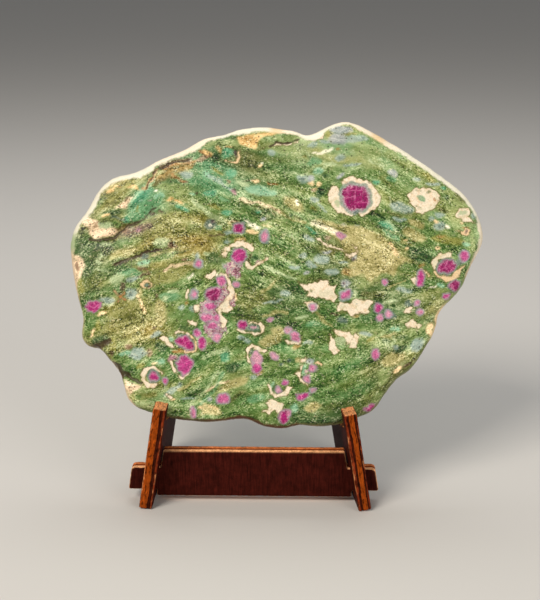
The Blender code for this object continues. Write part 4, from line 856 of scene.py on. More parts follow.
def write(mesh, name, values):
    """Stores values at the vertices: one number, three, or a colour of four."""
    kind, field = {1: ("FLOAT", "value"), 3: ("FLOAT_VECTOR", "vector"), 4: ("FLOAT_COLOR", "color")}[
        1 if values.ndim == 1 else values.shape[1]]
    store = mesh.attributes.new(name, kind, "POINT")
    store.data.foreach_set(field, np.ascontiguousarray(values, np.float32).ravel())


# ---------------------------------------------------------------- stone


def slab_axes():
    """The slab's u, v and n as rows."""
    lean = math.radians(SLAB_LEAN)
    return np.array([
        (1, 0, 0),
        (0, math.sin(lean), math.cos(lean)),
        (0, -math.cos(lean), math.sin(lean)),
    ])


def lay_map():
    """Doubled direction of the layers, eased between the places in LAY, on a coarse grid of the slab."""
    columns, rows = (np.arange(low, high, LAY_GRID) for low, high in zip(LAY_LOW, LAY_HIGH))
    across, up = np.meshgrid(columns, rows, indexing="ij")
    places = np.array(LAY, float)
    away = (across[..., None] - places[:, 0]) ** 2 + (up[..., None] - places[:, 1]) ** 2
    weight = np.exp(-away / (2 * LAY_REACH ** 2)) + 1e-4 / (1 + away)
    double = np.radians(places[:, 2]) * 2
    total = np.stack([weight @ np.cos(double), weight @ np.sin(double)], axis=-1)
    return total / weight.sum(axis=2)[..., None]


def lay_at(points, lay):
    """Unit direction of the layers at each (u, v)."""
    spots = (points - LAY_LOW) / LAY_GRID
    spots = np.clip(spots, 0, np.array(lay.shape[:2]) - 1.001)
    cell = spots.astype(int)
    (i, j), (a, b) = cell.T, (spots - cell).T[..., None]
    double = ((1 - a) * (1 - b) * lay[i, j] + a * (1 - b) * lay[i + 1, j]
              + (1 - a) * b * lay[i, j + 1] + a * b * lay[i + 1, j + 1])
    angle = np.arctan2(double[:, 1], double[:, 0]) / 2
    return np.stack([np.cos(angle), np.sin(angle)], axis=1)


def drawn_along(places, lay, size, reach, seed):
    """Noise smeared along the layers, about 0 to 1 with its mean at a half."""
    step = size * 0.6
    total = soft_noise(places, size, seed)
    for side in (1, -1):
        spot = places.copy()
        heading = lay_at(spot[:, :2], lay) * side
        for _ in range(max(2, round(reach / step / 2))):
            spot[:, :2] += heading * step
            turn = lay_at(spot[:, :2], lay)
            heading = turn * np.sign((turn * heading).sum(axis=1))[:, None]
            total += soft_noise(spot, size, seed)
    return 0.5 + (total - total.mean()) / total.std() * 0.17


def blended_ground(points):
    """Ground colour: the tints of GROUND eased into each other."""
    colours = np.array([tint(TINTS[place[5]])[:3] for place in GROUND])
    weight = np.zeros((len(points), len(GROUND)))
    for i, (u, v, across, up, turn, _) in enumerate(GROUND):
        own = turned(points, u, v, across, up, turn)
        weight[:, i] = np.exp(-(own ** 2).sum(axis=1)) + 1e-5
    return weight @ colours / weight.sum(axis=1)[:, None]


def shares(points, zones, base):
    """Share of a texture at each point: the base share, eased to each zone's own share inside it."""
    share = np.full(len(points), float(base))
    for u, v, across, up, turn, inside in zones:
        own = turned(points, u, v, across, up, turn)
        share += (inside - share) * np.exp(-(own ** 2).sum(axis=1))
    return share


def strewn(count, least, most, seed):
    """Ellipses strewn over the slab, with a number from 0 to 1 for each."""
    rng = np.random.default_rng(seed)
    spots = rng.uniform((-74, 6), (74, 114), (count * 3, 2))
    spots = spots[outline_gap(spots, SLAB_OUTLINE) < -most - 1][:count]
    across = least * (most / least) ** rng.uniform(0, 1, len(spots)) ** 1.5
    up = across * rng.uniform(0.6, 1.1, len(spots))
    turn = rng.uniform(-40, 40, len(spots))
    return list(zip(spots[:, 0], spots[:, 1], across, up, turn)), rng.uniform(0, 1, len(spots))


def nearest(points, shapes):
    """Least gap to the shapes, and the colour of the one that gives it."""
    gap = np.full(len(points), FAR)
    colour = np.zeros((len(points), 4))
    colour[:, 3] = 1
    for shape_gap, shade in shapes:
        closer = shape_gap < gap
        gap = np.where(closer, shape_gap, gap)
        colour[closer] = shade
    return gap, colour


def ruby_shade(depth):
    """Colour of a ruby from its depth, 0 to 1."""
    tones = np.array([tint(code) for code in RUBY_TONES])
    steps = np.linspace(0, 1, len(tones))
    return [np.interp(depth, steps, tones[:, i]) for i in range(3)] + [1.0]


def lay_tint(ground, name, share):
    """Lays a tint over the ground colour, by its share at each point."""
    ground += (np.array(tint(TINTS[name])[:3]) - ground) * share[:, None]


def stone_blank():
    """The slab's mesh, laid anew on a fine grid that is finer still over the front."""
    stone = merged_copy("zoisite_slab", "polished_slab")
    soften = stone.modifiers.new("soften", "SUBSURF")
    soften.levels = soften.render_levels = 1
    recast = stone.modifiers.new("recast", "REMESH")
    recast.mode = "VOXEL"
    recast.voxel_size = RECAST * MM
    ease = stone.modifiers.new("ease", "SMOOTH")
    ease.factor = 0.5
    ease.iterations = 5
    bake_modifiers(stone)
    shape = bmesh.new()
    shape.from_mesh(stone.data)
    out = Vector(slab_axes()[2])
    foot = Vector(SLAB_FOOT) * MM
    front = {vert for vert in shape.verts if (vert.co - foot).dot(out) > -FINE_DEPTH * MM}
    edges = [edge for edge in shape.edges if edge.verts[0] in front and edge.verts[1] in front]
    bmesh.ops.subdivide_edges(shape, edges=edges, cuts=1, use_grid_fill=True)
    fine = [vert for vert in shape.verts if (vert.co - foot).dot(out) > -FINE_DEPTH * MM]
    for _ in range(2):
        bmesh.ops.smooth_vert(
            shape, verts=fine, factor=0.5, use_axis_x=True, use_axis_y=True, use_axis_z=True)
    bmesh.ops.triangulate(shape, faces=[face for face in shape.faces if len(face.verts) > 4])
    shape.to_mesh(stone.data)
    shape.free()
    return stone


def paint_and_carve(stone):
    """Lays the minerals out over the slab, and lets rubies, seams and polish show in its surface."""
    mesh = stone.data
    axes = slab_axes()
    spots = get_points(mesh) / MM
    places = (spots - np.array(SLAB_FOOT)) @ axes.T
    flat = places[:, :2]
    wander = [
        0.6 * soft_noise(places, 2.4, seed) + 0.3 * soft_noise(places, 1.0, seed + 20) for seed in (1, 2)]
    points = flat + np.stack(wander, axis=1)
    broad_wander = flat + 2.0 * np.stack([soft_noise(places, 7, 3), soft_noise(places, 7, 4)], axis=1)

    front = smoothly(places[:, 2], *FRONT_FADE)
    behind = FAR * (1 - front)
    before = FAR * smoothly(places[:, 2], *BACK_FADE)

    # Green ground, streaked along the layers, and which way its grain is drawn at each point.
    lay = lay_map()
    band = drawn_along(places, lay, 2.2, 7, 5)
    wisp = drawn_along(places, lay, 1.0, 3.5, 6)
    hue = drawn_along(places, lay, 2.8, 10, 15)[:, None]
    ground = blended_ground(broad_wander) * (1 + (hue - 0.5) * 2 * np.array([-0.28, 0.02, 0.18]))
    heading = lay_at(flat, lay)
    angle = np.degrees(np.arctan2(heading[:, 1], heading[:, 0]))
    off = [np.abs((angle - way + 90) % 180 - 90) for way in GRAIN_WAYS]
    lay_share = np.exp(-(np.stack(off, axis=1) / 16.0) ** 2) + 1e-3
    lay_share /= lay_share.sum(axis=1)[:, None]

    # Soft minerals laid over it one after another.
    calm = shares(broad_wander, CALM, 0.0)
    for name, dabs in DABS.items():
        for dab in dabs:
            soft = 0.25 + 0.3 * min(dab[2:4])
            laid = DAB_STRENGTH * front * (1 - smoothly(ellipse_gap(points, *dab), -soft, soft))
            lay_tint(ground, name, laid)
            if name in CALM_TINTS:
                calm += (0.5 - calm) * laid
    for name, outline in STAINS:
        laid = STAIN_STRENGTH * front * (1 - smoothly(outline_gap(points, outline), -0.7, 0.5))
        lay_tint(ground, name, laid)
        if name in CALM_TINTS:
            calm += (0.5 - calm) * laid
    uneven = 1 + 0.5 * soft_noise(places, 2.6, 12)
    for name, width, line in VEINS:
        laid = 1 - smoothly(line_gap(points, line), 0.4 * width, 1.6 * width * uneven)
        lay_tint(ground, name, VEIN_STRENGTH * front * laid)
    light = ground @ (0.2126, 0.7152, 0.0722)  # how light each tint is to the eye
    ground *= (light / light.mean())[:, None] ** CONTRAST

    # Harder minerals with an edge: how far outside the nearest one, and its tint.
    spot_gap, spot_tint = nearest(points, [
        (ellipse_gap(points, *inlay), tint(TINTS[name]))
        for name, inlays in INLAYS.items() for inlay in inlays])
    creams = [(outline_gap(points, patch), tint(TINTS[name])) for name, patch in PATCHES]
    creams += [(line_gap(points, line) - width * uneven, tint(TINTS[name])) for name, width, line in THREADS]
    creams = [(gap + behind, shade) for gap, shade in creams]
    strewn_creams, _ = strewn(*BACK_CREAMS, 31)
    creams += [(ellipse_gap(broad_wander, *cream) + before, tint(TINTS["cream"])) for cream in strewn_creams]
    cream_gap, cream_tint = nearest(points, creams)
    rubies = [(outline_gap(points, outline) + behind, depth, rim) for depth, rim, outline in RUBY_OUTLINES]
    rubies += [(ellipse_gap(points, *ruby[:5]) + behind, ruby[5], ruby[6]) for ruby in RUBIES]
    rubies += [(ellipse_gap(0.6 * points + 0.4 * broad_wander, *spot) + before, depth, 0.8)
               for spot, depth in zip(*strewn(*BACK_RUBIES, 8))]
    ruby_gap, ruby_tint = nearest(points, [(gap, ruby_shade(depth)) for gap, depth, _ in rubies])
    halo_gap, halo_tint = nearest(points, [
        (gap - rim, tint(TINTS["slate" if depth > 0.5 else "lilac"])) for gap, depth, rim in rubies])
    fracture_gap = np.min([line_gap(points, line) for line in FRACTURES], axis=0)

    # Rim, pale rind with a painted highlight along the top and painted shade along the foot: how far inside
    # the outline, less how wide the rim is there.
    edge = -outline_gap(flat, SLAB_OUTLINE)
    rim = np.array([place[:2] for place in RIM_AND_EDGE_LIGHT], float)
    weight = 1 / (((flat[:, None, :] - rim[None]) ** 2).sum(axis=2) + 4) ** 2
    weight /= weight.sum(axis=1)[:, None]
    edge -= weight @ np.array([place[2] for place in RIM_AND_EDGE_LIGHT])
    rim_and_edge_light_tint = weight @ np.array([tint(TINTS[place[3]]) for place in RIM_AND_EDGE_LIGHT])

    # The surface itself.
    normals = get_points(mesh, "normal")
    side = 1 - smoothly(np.abs(normals @ axes[2]), 0.45, 0.85)
    side *= smoothly(-places[:, 2], *RIND_START)
    relief = LAYER_RISE * (band - 0.5) + LUMP_RISE * soft_noise(places, 3.5, 7)
    pits = smoothly(soft_noise(places, 2.2, 21) + 0.5 * soft_noise(places, 1.0, 22), 0.1, 0.8)
    relief -= side * (PIT_DEPTH * pits + HOLLOW_DEPTH * smoothly(soft_noise(places, 6.0, 23), -0.2, 0.6))
    relief += RUBY_RISE * smoothly(ruby_gap, 0.3, -0.4) * front
    seam_gap = np.full(len(flat), FAR)
    for width, depth, line in SEAMS:
        gap = line_gap(points, line)
        seam_gap = np.minimum(seam_gap, gap - width)
        relief -= depth * np.exp(-(gap / (width + 0.2)) ** 2) * front
    spots += normals * relief[:, None]
    low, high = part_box("zoisite_slab")
    margin = BOX_MARGIN * MM
    put_points(mesh, np.clip(spots * MM, np.array(low) + margin, np.array(high) - margin))
    edge += (1 - front) * 2.0 * soft_noise(places, 5.0, 24)

    stored = {
        "place": places, "ground": np.column_stack([ground, np.ones(len(ground))]), "lay": lay_share,
        "band": band, "wisp": wisp, "calm": calm,
        "speckle": shares(broad_wander, SPECKLED, SPECKLED_BASE),
        "pepper": shares(broad_wander, PEPPERED, PEPPERED_BASE),
        "fleck": shares(broad_wander, FLECKED, FLECKED_BASE),
        "rosy": shares(points, ROSY, 0.0) * front,
        "spot_gap": spot_gap + behind, "spot_tint": spot_tint,
        "cream_gap": cream_gap, "cream_tint": cream_tint,
        "ruby_gap": ruby_gap, "ruby_tint": ruby_tint, "fracture_gap": fracture_gap,
        "halo_gap": halo_gap, "halo_tint": halo_tint,
        "edge": edge, "rim_and_edge_light_tint": rim_and_edge_light_tint, "seam_gap": seam_gap + behind,
        "rind": side, "pits": pits,
    }
    for name, values in stored.items():
        write(mesh, name, values)


def polished_zoisite():
    """Zoisite rock with ruby, sawn and polished: fine green grain under a waxy satin polish."""
    made, tree = new_material("polished_zoisite")
    place, lay = (add(tree, "ShaderNodeAttribute", out=1, attribute_name=name) for name in ("place", "lay"))
    ground, spot, cream, ruby, halo, rim = (
        add(tree, "ShaderNodeAttribute", attribute_name=name)
        for name in ("ground", "spot_tint", "cream_tint", "ruby_tint", "halo_tint", "rim_and_edge_light_tint"))
    band, wisp, calm, speckle, pepper, fleck, rosy, rind, pits = (
        add(tree, "ShaderNodeAttribute", out=2, attribute_name=name)
        for name in ("band", "wisp", "calm", "speckle", "pepper", "fleck", "rosy", "rind", "pits"))
    spot_gap, cream_gap, ruby_gap, fracture_gap, halo_gap, seam_gap, edge = (
        add(tree, "ShaderNodeAttribute", out=2, attribute_name=name)
        for name in ("spot_gap", "cream_gap", "ruby_gap", "fracture_gap", "halo_gap", "seam_gap", "edge"))

    # Noises of every size: single grains, streaks drawn along the layers, ragged lumps and broad clumps.
    grain, fine, ragged, clump = (
        add(tree, "ShaderNodeTexNoise", {
            "Vector": place, "Scale": 1 / size, "Detail": detail, "Roughness": rough,
        })
        for size, detail, rough in (
            (GRAIN, 2.0, 0.7), (POLISH, 1.0, 0.5), (RAGGED, 3.0, 0.6), (CLUMP, 3.0, 0.6)))
    clump = add(tree, "ShaderNodeMapRange", (clump, 0.36, 0.62, 0.35, 1.45))
    lay = add(tree, "ShaderNodeSeparateXYZ", (lay,))
    streak = None
    for way, share in zip(GRAIN_WAYS, lay.node.outputs):
        drawn = add(tree, "ShaderNodeMapping", {"Vector": place, "Rotation": (0, 0, -math.radians(way))})
        drawn = add(tree, "ShaderNodeMapping", {"Vector": drawn, "Scale": STREAK_DRAW})
        drawn = add(tree, "ShaderNodeTexNoise", {
            "Vector": drawn, "Scale": 1 / STREAK, "Detail": 2.0, "Roughness": 0.65,
        })
        streak = add(tree, "ShaderNodeMath", (drawn, share, streak or 0.0), operation="MULTIPLY_ADD")
    wobble = add(tree, "ShaderNodeMath", (ragged, 2.0, -1.0), operation="MULTIPLY_ADD")
    half_wobble = add(tree, "ShaderNodeMath", (wobble, 0.35), operation="MULTIPLY")
    cells = add(tree, "ShaderNodeTexVoronoi", {"Vector": place, "Scale": 1 / CRYSTAL})
    crystal = add(tree, "ShaderNodeSeparateColor", (cells.node.outputs[1],))

    # Green ground: it lightens and darkens with the layers, the streaks and, where speckled, every grain.
    tone = add(tree, "ShaderNodeMath", (grain, 5.0, -2.5), operation="MULTIPLY_ADD")
    part = add(tree, "ShaderNodeMath", (crystal, 1.2, -0.6), operation="MULTIPLY_ADD")
    tone = add(tree, "ShaderNodeMath", (tone, part), operation="ADD")
    swing = add(tree, "ShaderNodeMath", (speckle, 1.05, 0.12), operation="MULTIPLY_ADD")
    tone = add(tree, "ShaderNodeMath", (tone, swing), operation="MULTIPLY")
    part = add(tree, "ShaderNodeMath", (streak, 4.6, -2.40), operation="MULTIPLY_ADD")
    tone = add(tree, "ShaderNodeMath", (tone, part), operation="ADD")
    tone = add(tree, "ShaderNodeMath", (tone, clump), operation="MULTIPLY")
    for layers, share in ((band, 1.6), (wisp, 1.3)):
        part = add(tree, "ShaderNodeMath", (layers, share, -share / 2), operation="MULTIPLY_ADD")
        tone = add(tree, "ShaderNodeMath", (tone, part), operation="ADD")
    swing = add(tree, "ShaderNodeMath", (calm, -0.75, 1.0), operation="MULTIPLY_ADD")
    tone = add(tree, "ShaderNodeMath", (tone, swing), operation="MULTIPLY")
    even = add(tree, "ShaderNodeGamma", (ground, 1 / EYE_GAMMA))
    colour = add(tree, "ShaderNodeVectorMath", (tone, GRAIN_SWING, even), operation="MULTIPLY_ADD")
    colour = add(tree, "ShaderNodeVectorMath", (colour, (0.02, 0.02, 0.02)), operation="MAXIMUM")
    colour = add(tree, "ShaderNodeGamma", (colour, EYE_GAMMA))
    pale = add(tree, "ShaderNodeMapRange", (tone, 0.5, 1.4, 0.0, 0.38))
    colour = add(tree, "ShaderNodeMix", {0: pale, 6: colour, 7: tint(TINTS["lit"])}, 2, data_type="RGBA")
    shade = add(tree, "ShaderNodeMapRange", (grain, 0.30, 0.70, 0.70, 1.25))

    # Thin pale threads that worm through the speckled parts.
    worm = add(tree, "ShaderNodeTexNoise", {
        "Vector": place, "Scale": 1 / WORM, "Detail": 2.0, "Roughness": 0.6, "Distortion": 0.6,
    })
    worm = add(tree, "ShaderNodeMath", (worm, 0.5), operation="SUBTRACT")
    worm = add(tree, "ShaderNodeMath", (worm,), operation="ABSOLUTE")
    worm = add(tree, "ShaderNodeMapRange", (worm, 0.022, 0.004, 0.0, 1.0))
    gate = add(tree, "ShaderNodeMapRange", (streak, 0.46, 0.58, 0.0, 0.8))
    worm = add(tree, "ShaderNodeMath", (worm, gate), operation="MULTIPLY")
    gate = add(tree, "ShaderNodeMapRange", (speckle, 0.15, 0.8, 0.15, 1.0))
    worm = add(tree, "ShaderNodeMath", (worm, gate), operation="MULTIPLY")
    colour = add(tree, "ShaderNodeMix", {0: worm, 6: colour, 7: tint(TINTS["worm"])}, 2, data_type="RGBA")

    # Brown-black and white specks, a grain each.
    dots = add(tree, "ShaderNodeTexVoronoi", {"Vector": place, "Scale": 1 / PEPPER_DOT})
    dot = add(tree, "ShaderNodeMapRange", (dots, 0.42, 0.22, 0.0, 1.0))
    chance = add(tree, "ShaderNodeSeparateColor", (dots.node.outputs[1],))
    picked = add(tree, "ShaderNodeMath", (chance, pepper), operation="LESS_THAN")
    share = add(tree, "ShaderNodeMath", (dot, picked), operation="MULTIPLY")
    share = add(tree, "ShaderNodeMath", (share, 0.75), operation="MULTIPLY")
    colour = add(tree, "ShaderNodeMix", {0: share, 6: colour, 7: tint(TINTS["pepper"])}, 2, data_type="RGBA")
    dots = add(tree, "ShaderNodeTexVoronoi", {"Vector": place, "Scale": 1 / FLECK_DOT})
    dot = add(tree, "ShaderNodeMapRange", (dots, 0.48, 0.28, 0.0, 1.0))
    chance = add(tree, "ShaderNodeSeparateColor", (dots.node.outputs[1],), 1)
    picked = add(tree, "ShaderNodeMath", (chance, fleck), operation="LESS_THAN")
    share = add(tree, "ShaderNodeMath", (dot, picked), operation="MULTIPLY")
    gate = add(tree, "ShaderNodeMapRange", (clump, 0.6, 1.3, 0.05, 0.6))
    share = add(tree, "ShaderNodeMath", (share, gate), operation="MULTIPLY")
    colour = add(tree, "ShaderNodeMix", {0: share, 6: colour, 7: tint(TINTS["fleck"])}, 2, data_type="RGBA")

    # Pink, lilac and grey grains mixed.
    blend = add(tree, "ShaderNodeMath", (crystal, 0.35, -0.175), operation="MULTIPLY_ADD")
    blend = add(tree, "ShaderNodeMath", (ragged, blend), operation="ADD")
    rosy_tint = add(tree, "ShaderNodeValToRGB", (blend,))
    ramp = rosy_tint.node.color_ramp
    for element, (position, code) in zip(ramp.elements, (ROSY_TONES[0], ROSY_TONES[-1])):
        element.position = position
        element.color = tint(code)
    for position, code in ROSY_TONES[1:-1]:
        ramp.elements.new(position).color = tint(code)
    share = add(tree, "ShaderNodeMath", (ragged, 1.2, -0.6), operation="MULTIPLY_ADD")
    share = add(tree, "ShaderNodeMath", (share, rosy), operation="ADD")
    share = add(tree, "ShaderNodeMapRange", (share, 0.35, 0.6, 0.0, 0.85), interpolation_type="SMOOTHSTEP")
    colour = add(tree, "ShaderNodeMix", {0: share, 6: colour, 7: rosy_tint}, 2, data_type="RGBA")

    # Feldspar patches, ragged at the edge, with a thin dark line round them.
    gap = add(tree, "ShaderNodeMath", (cream_gap, wobble), operation="ADD")
    line = add(tree, "ShaderNodeMapRange", (gap, 0.7, 0.1, 0.0, 0.55), interpolation_type="SMOOTHSTEP")
    colour = add(tree, "ShaderNodeMix", {0: line, 6: colour, 7: tint(TINTS["outline"])}, 2, data_type="RGBA")
    share = add(tree, "ShaderNodeMapRange", (gap, 0.15, -0.25, 0.0, 0.95), interpolation_type="SMOOTHSTEP")
    cream_shade = add(tree, "ShaderNodeMapRange", (grain, 0.32, 0.6, 0.82, 1.04))
    part = add(tree, "ShaderNodeMapRange", (ragged, 0.50, 0.66, 0.0, 0.7))
    cream = add(tree, "ShaderNodeMix", {0: part, 6: cream, 7: tint(TINTS["honey"])}, 2, data_type="RGBA")
    part = add(tree, "ShaderNodeMapRange", (clump, 0.85, 0.45, 0.0, 0.35))
    cream = add(tree, "ShaderNodeMix", {0: part, 6: cream, 7: tint(TINTS["lichen"])}, 2, data_type="RGBA")
    part = add(tree, "ShaderNodeMapRange", (gap, -0.6, 0.0, 0.0, 0.35), interpolation_type="SMOOTHSTEP")
    cream = add(tree, "ShaderNodeMix", {0: part, 6: cream, 7: tint(TINTS["toned_edge"])}, 2, data_type="RGBA")
    cream = add(tree, "ShaderNodeVectorMath", {0: cream, "Scale": cream_shade}, operation="SCALE")
    colour = add(tree, "ShaderNodeMix", {0: share, 6: colour, 7: cream}, 2, data_type="RGBA")

    # Soft spots of other minerals, let through by the grain.
    gap = add(tree, "ShaderNodeMath", (spot_gap, wobble), operation="ADD")
    share = add(tree, "ShaderNodeMapRange", (gap, 0.4, -0.5, 0.0, 1.0), interpolation_type="SMOOTHSTEP")
    sifted = add(tree, "ShaderNodeMapRange", (grain, 0.38, 0.52, 0.45, 0.9))
    share = add(tree, "ShaderNodeMath", (share, sifted), operation="MULTIPLY")
    spot = add(tree, "ShaderNodeVectorMath", {0: spot, "Scale": shade}, operation="SCALE")
    colour = add(tree, "ShaderNodeMix", {0: share, 6: colour, 7: spot}, 2, data_type="RGBA")

    # Grey reaction rim round each ruby, mottled with green and lilac.
    gap = add(tree, "ShaderNodeMath", (halo_gap, half_wobble), operation="ADD")
    share = add(tree, "ShaderNodeMapRange", (gap, 0.45, -0.55, 0.0, 0.78), interpolation_type="SMOOTHSTEP")
    part = add(tree, "ShaderNodeMapRange", (grain, 0.46, 0.62, 0.0, 0.65))
    halo = add(tree, "ShaderNodeMix", {0: part, 6: halo, 7: tint(TINTS["lilac_grain"])}, 2, data_type="RGBA")
    part = add(tree, "ShaderNodeMapRange", (ragged, 0.55, 0.42, 0.0, 0.8))
    halo = add(tree, "ShaderNodeMix", {0: part, 6: halo, 7: tint(TINTS["green_grain"])}, 2, data_type="RGBA")
    halo = add(tree, "ShaderNodeVectorMath", {0: halo, "Scale": shade}, operation="SCALE")
    colour = add(tree, "ShaderNodeMix", {0: share, 6: colour, 7: halo}, 2, data_type="RGBA")

    # Ruby: pink at its soft edge, deep and blotched within, with pale fractures.
    gap = add(tree, "ShaderNodeMath", (ruby_gap, half_wobble), operation="ADD")
    frayed = add(tree, "ShaderNodeMath", (grain, 2.4, -1.2), operation="MULTIPLY_ADD")
    gap = add(tree, "ShaderNodeMath", (gap, frayed), operation="ADD")
    bleed = add(tree, "ShaderNodeMapRange", (gap, 0.9, 0.1, 0.0, 0.45), interpolation_type="SMOOTHSTEP")
    colour = add(tree, "ShaderNodeMix", {0: bleed, 6: colour, 7: tint(TINTS["bleed"])}, 2, data_type="RGBA")
    within = add(tree, "ShaderNodeMapRange", (gap, 0.55, -0.45, 0.0, 1.0), interpolation_type="SMOOTHSTEP")
    pink = add(tree, "ShaderNodeMapRange", (gap, -1.1, 0.0, 0.05, 0.6))
    pink = add(tree, "ShaderNodeMath", (ragged, 2.2, pink), operation="MULTIPLY_ADD")
    pink = add(tree, "ShaderNodeMapRange", (pink, 1.35, 2.1, 0.0, 0.75))
    ruby = add(tree, "ShaderNodeMix", {0: pink, 6: ruby, 7: tint(TINTS["pink_edge"])}, 2, data_type="RGBA")
    blotch = add(tree, "ShaderNodeMapRange", (grain, 0.32, 0.66, 0.62, 1.42))
    part = add(tree, "ShaderNodeMapRange", (ragged, 0.36, 0.62, 0.78, 1.18))
    blotch = add(tree, "ShaderNodeMath", (blotch, part), operation="MULTIPLY")
    ruby = add(tree, "ShaderNodeVectorMath", {0: ruby, "Scale": blotch}, operation="SCALE")
    part = add(tree, "ShaderNodeMapRange", (crystal, 0.79, 0.85, 0.0, 0.12))
    ruby = add(tree, "ShaderNodeMix", {0: part, 6: ruby, 7: tint(TINTS["grey_crystal"])}, 2, data_type="RGBA")
    fracture = add(tree, "ShaderNodeMath", (fracture_gap, half_wobble), operation="ADD")
    share = add(tree, "ShaderNodeMapRange", (fracture, 0.30, 0.08, 0.0, 0.62))
    ruby = add(tree, "ShaderNodeMix", {0: share, 6: ruby, 7: tint(TINTS["fracture"])}, 2, data_type="RGBA")
    colour = add(tree, "ShaderNodeMix", {0: within, 6: colour, 7: ruby}, 2, data_type="RGBA")

    # Rim: pale rind, with a painted highlight along the top and painted shade along the foot.
    edge = add(tree, "ShaderNodeMath", (edge, wobble), operation="ADD")
    share = add(tree, "ShaderNodeMapRange", (edge, 0.6, -0.6, 0.0, 0.92), interpolation_type="SMOOTHSTEP")
    colour = add(tree, "ShaderNodeMix", {0: share, 6: colour, 7: rim}, 2, data_type="RGBA")

    # The sawn and weathered sides: tan and green blotches in the pale rind, brown in its pits.
    share = add(tree, "ShaderNodeMapRange", (clump, 0.75, 1.25, 0.0, 0.75))
    share = add(tree, "ShaderNodeMath", (share, rind), operation="MULTIPLY")
    colour = add(tree, "ShaderNodeMix", {0: share, 6: colour, 7: tint(TINTS["drab"])}, 2, data_type="RGBA")
    share = add(tree, "ShaderNodeMapRange", (ragged, 0.48, 0.62, 0.15, 0.8))
    share = add(tree, "ShaderNodeMath", (share, rind), operation="MULTIPLY")
    colour = add(tree, "ShaderNodeMix", {0: share, 6: colour, 7: tint(TINTS["fawn"])}, 2, data_type="RGBA")
    share = add(tree, "ShaderNodeMath", (pits, rind), operation="MULTIPLY")
    share = add(tree, "ShaderNodeMath", (share, 0.7), operation="MULTIPLY")
    colour = add(tree, "ShaderNodeMix", {0: share, 6: colour, 7: tint(TINTS["pit"])}, 2, data_type="RGBA")
    speck = add(tree, "ShaderNodeMapRange", (grain, 0.35, 0.65, 0.72, 1.2))
    speck = add(tree, "ShaderNodeMix", {0: rind, 2: 1.0, 3: speck}, 0, data_type="FLOAT")
    colour = add(tree, "ShaderNodeVectorMath", {0: colour, "Scale": speck}, operation="SCALE")

    # Dark brown in the seams, over everything: partly their own stain, partly painted shade in the grooves.
    gap = add(tree, "ShaderNodeMath", (seam_gap, half_wobble), operation="ADD")
    share = add(tree, "ShaderNodeMapRange", (gap, 0.4, -0.1, 0.0, 0.85), interpolation_type="SMOOTHSTEP")
    colour = add(tree, "ShaderNodeMix", {0: share, 6: colour, 7: tint(TINTS["seam"])}, 2, data_type="RGBA")

    # Waxy satin polish, a little uneven with the hardness of the grains.
    rough = add(tree, "ShaderNodeMapRange", (grain, 0.3, 0.7, 0.34, 0.50))
    height = add(tree, "ShaderNodeMath", (grain, fine), operation="ADD")
    bump = add(tree, "ShaderNodeBump", {"Strength": 0.5, "Distance": 0.06 * MM, "Height": height})
    surface = add(tree, "ShaderNodeBsdfPrincipled", {
        "Base Color": colour, "Roughness": rough, "Normal": bump, "IOR": 1.69, "Specular IOR Level": 0.2,
    })
    add(tree, "ShaderNodeOutputMaterial", {"Surface": surface})
    return made


def make_stone():
    """The slab: its mesh, its minerals and its place on the object."""
    stone = stone_blank()
    paint_and_carve(stone)
    stone.data.shade_smooth()
    stone.data.materials.append(polished_zoisite())
    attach(stone, "root")
    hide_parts("zoisite_slab")


# ---------------------------------------------------------------- stand


def board_axes(mesh, across_hint):
    """Thickness, length and height axes of a flat board, found from its two broad faces."""
    total = np.zeros((3, 3))
    for face in mesh.polygons:
        normal = np.array(face.normal)
        total += face.area * np.outer(normal, normal)
    thick = np.linalg.eigh(total)[1][:, 2]
    thick *= np.sign(thick @ np.array(across_hint))
    up = np.array((0.0, 0.0, 1.0))
    up -= thick * (up @ thick)
    up /= np.linalg.norm(up)
    return np.array([thick, np.cross(up, thick), up])


def make_board(node_name, across_hint):
    """A board of the stand on a fine grid: chipped arrises, dark plies burnt a little way back, and painted
    light on the legs' cut faces that face up.
    """
    board = merged_copy(node_name, "worn_" + node_name)
    axes = board_axes(board.data, across_hint)
    recast = board.modifiers.new("recast", "REMESH")
    recast.mode = "VOXEL"
    recast.voxel_size = WOOD_GRID * MM
    bake_modifiers(board)
    mesh = board.data
    spots = get_points(mesh) / MM
    normals = get_points(mesh, "normal")
    places = spots @ axes.T
    low, high = places[:, 0].min(), places[:, 0].max()
    depth = (places[:, 0] - low) / (high - low)
    cut_face = 1 - smoothly(np.abs(normals @ axes[0]), 0.5, 0.9)
    is_leg = node_name != "crossbar"
    along_grain = places * np.array([1.0, 1.0, 0.45])
    wander = 0.05 * soft_noise(places, 6.0, 11) + 0.02 * soft_noise(along_grain, 1.2, 12)
    ply_depth = depth + wander * is_leg
    glue = np.zeros(len(places))
    start = 0.0
    for end, name in PLIES[node_name]:
        if name in ("glue", "inner"):
            within = smoothly(ply_depth, start - 0.03, start + 0.03)
            glue += within * (1 - smoothly(ply_depth, end - 0.03, end + 0.03))
        start = end
    arris = 1 - smoothly(np.minimum(depth, 1 - depth) * PLY, 0.1, 0.8)
    chip = soft_noise(along_grain, 0.8, 3) + 0.4 * soft_noise(places, 2.6, 4)
    chip = smoothly(chip, 0.15, 0.6) * arris * cut_face
    fuzz = 0.5 + 0.5 * soft_noise(along_grain, 0.6, 5)
    recess = cut_face * (GLUE_RECESS * glue + CHIP_DEPTH * chip + CUT_FUZZ * fuzz) + BOARD_INSET
    put_points(mesh, (spots - normals * recess[:, None]) * MM)
    # Painted light: the legs' cut faces that face up are painted paler, as if lit from above.
    painted_top_light = smoothly(normals[:, 2], 0.55, 0.85) * cut_face * is_leg
    bare_and_lit = np.clip(0.95 * chip + 0.7 * painted_top_light, 0, 1)
    stored = {"place": places, "ply_depth": ply_depth, "cut_face": cut_face, "bare_and_lit": bare_and_lit}
    for name, values in stored.items():
        write(mesh, name, values)
    mesh.shade_smooth()
    mesh.materials.append(stained_plywood(node_name))
    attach(board, "root")
    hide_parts(node_name)


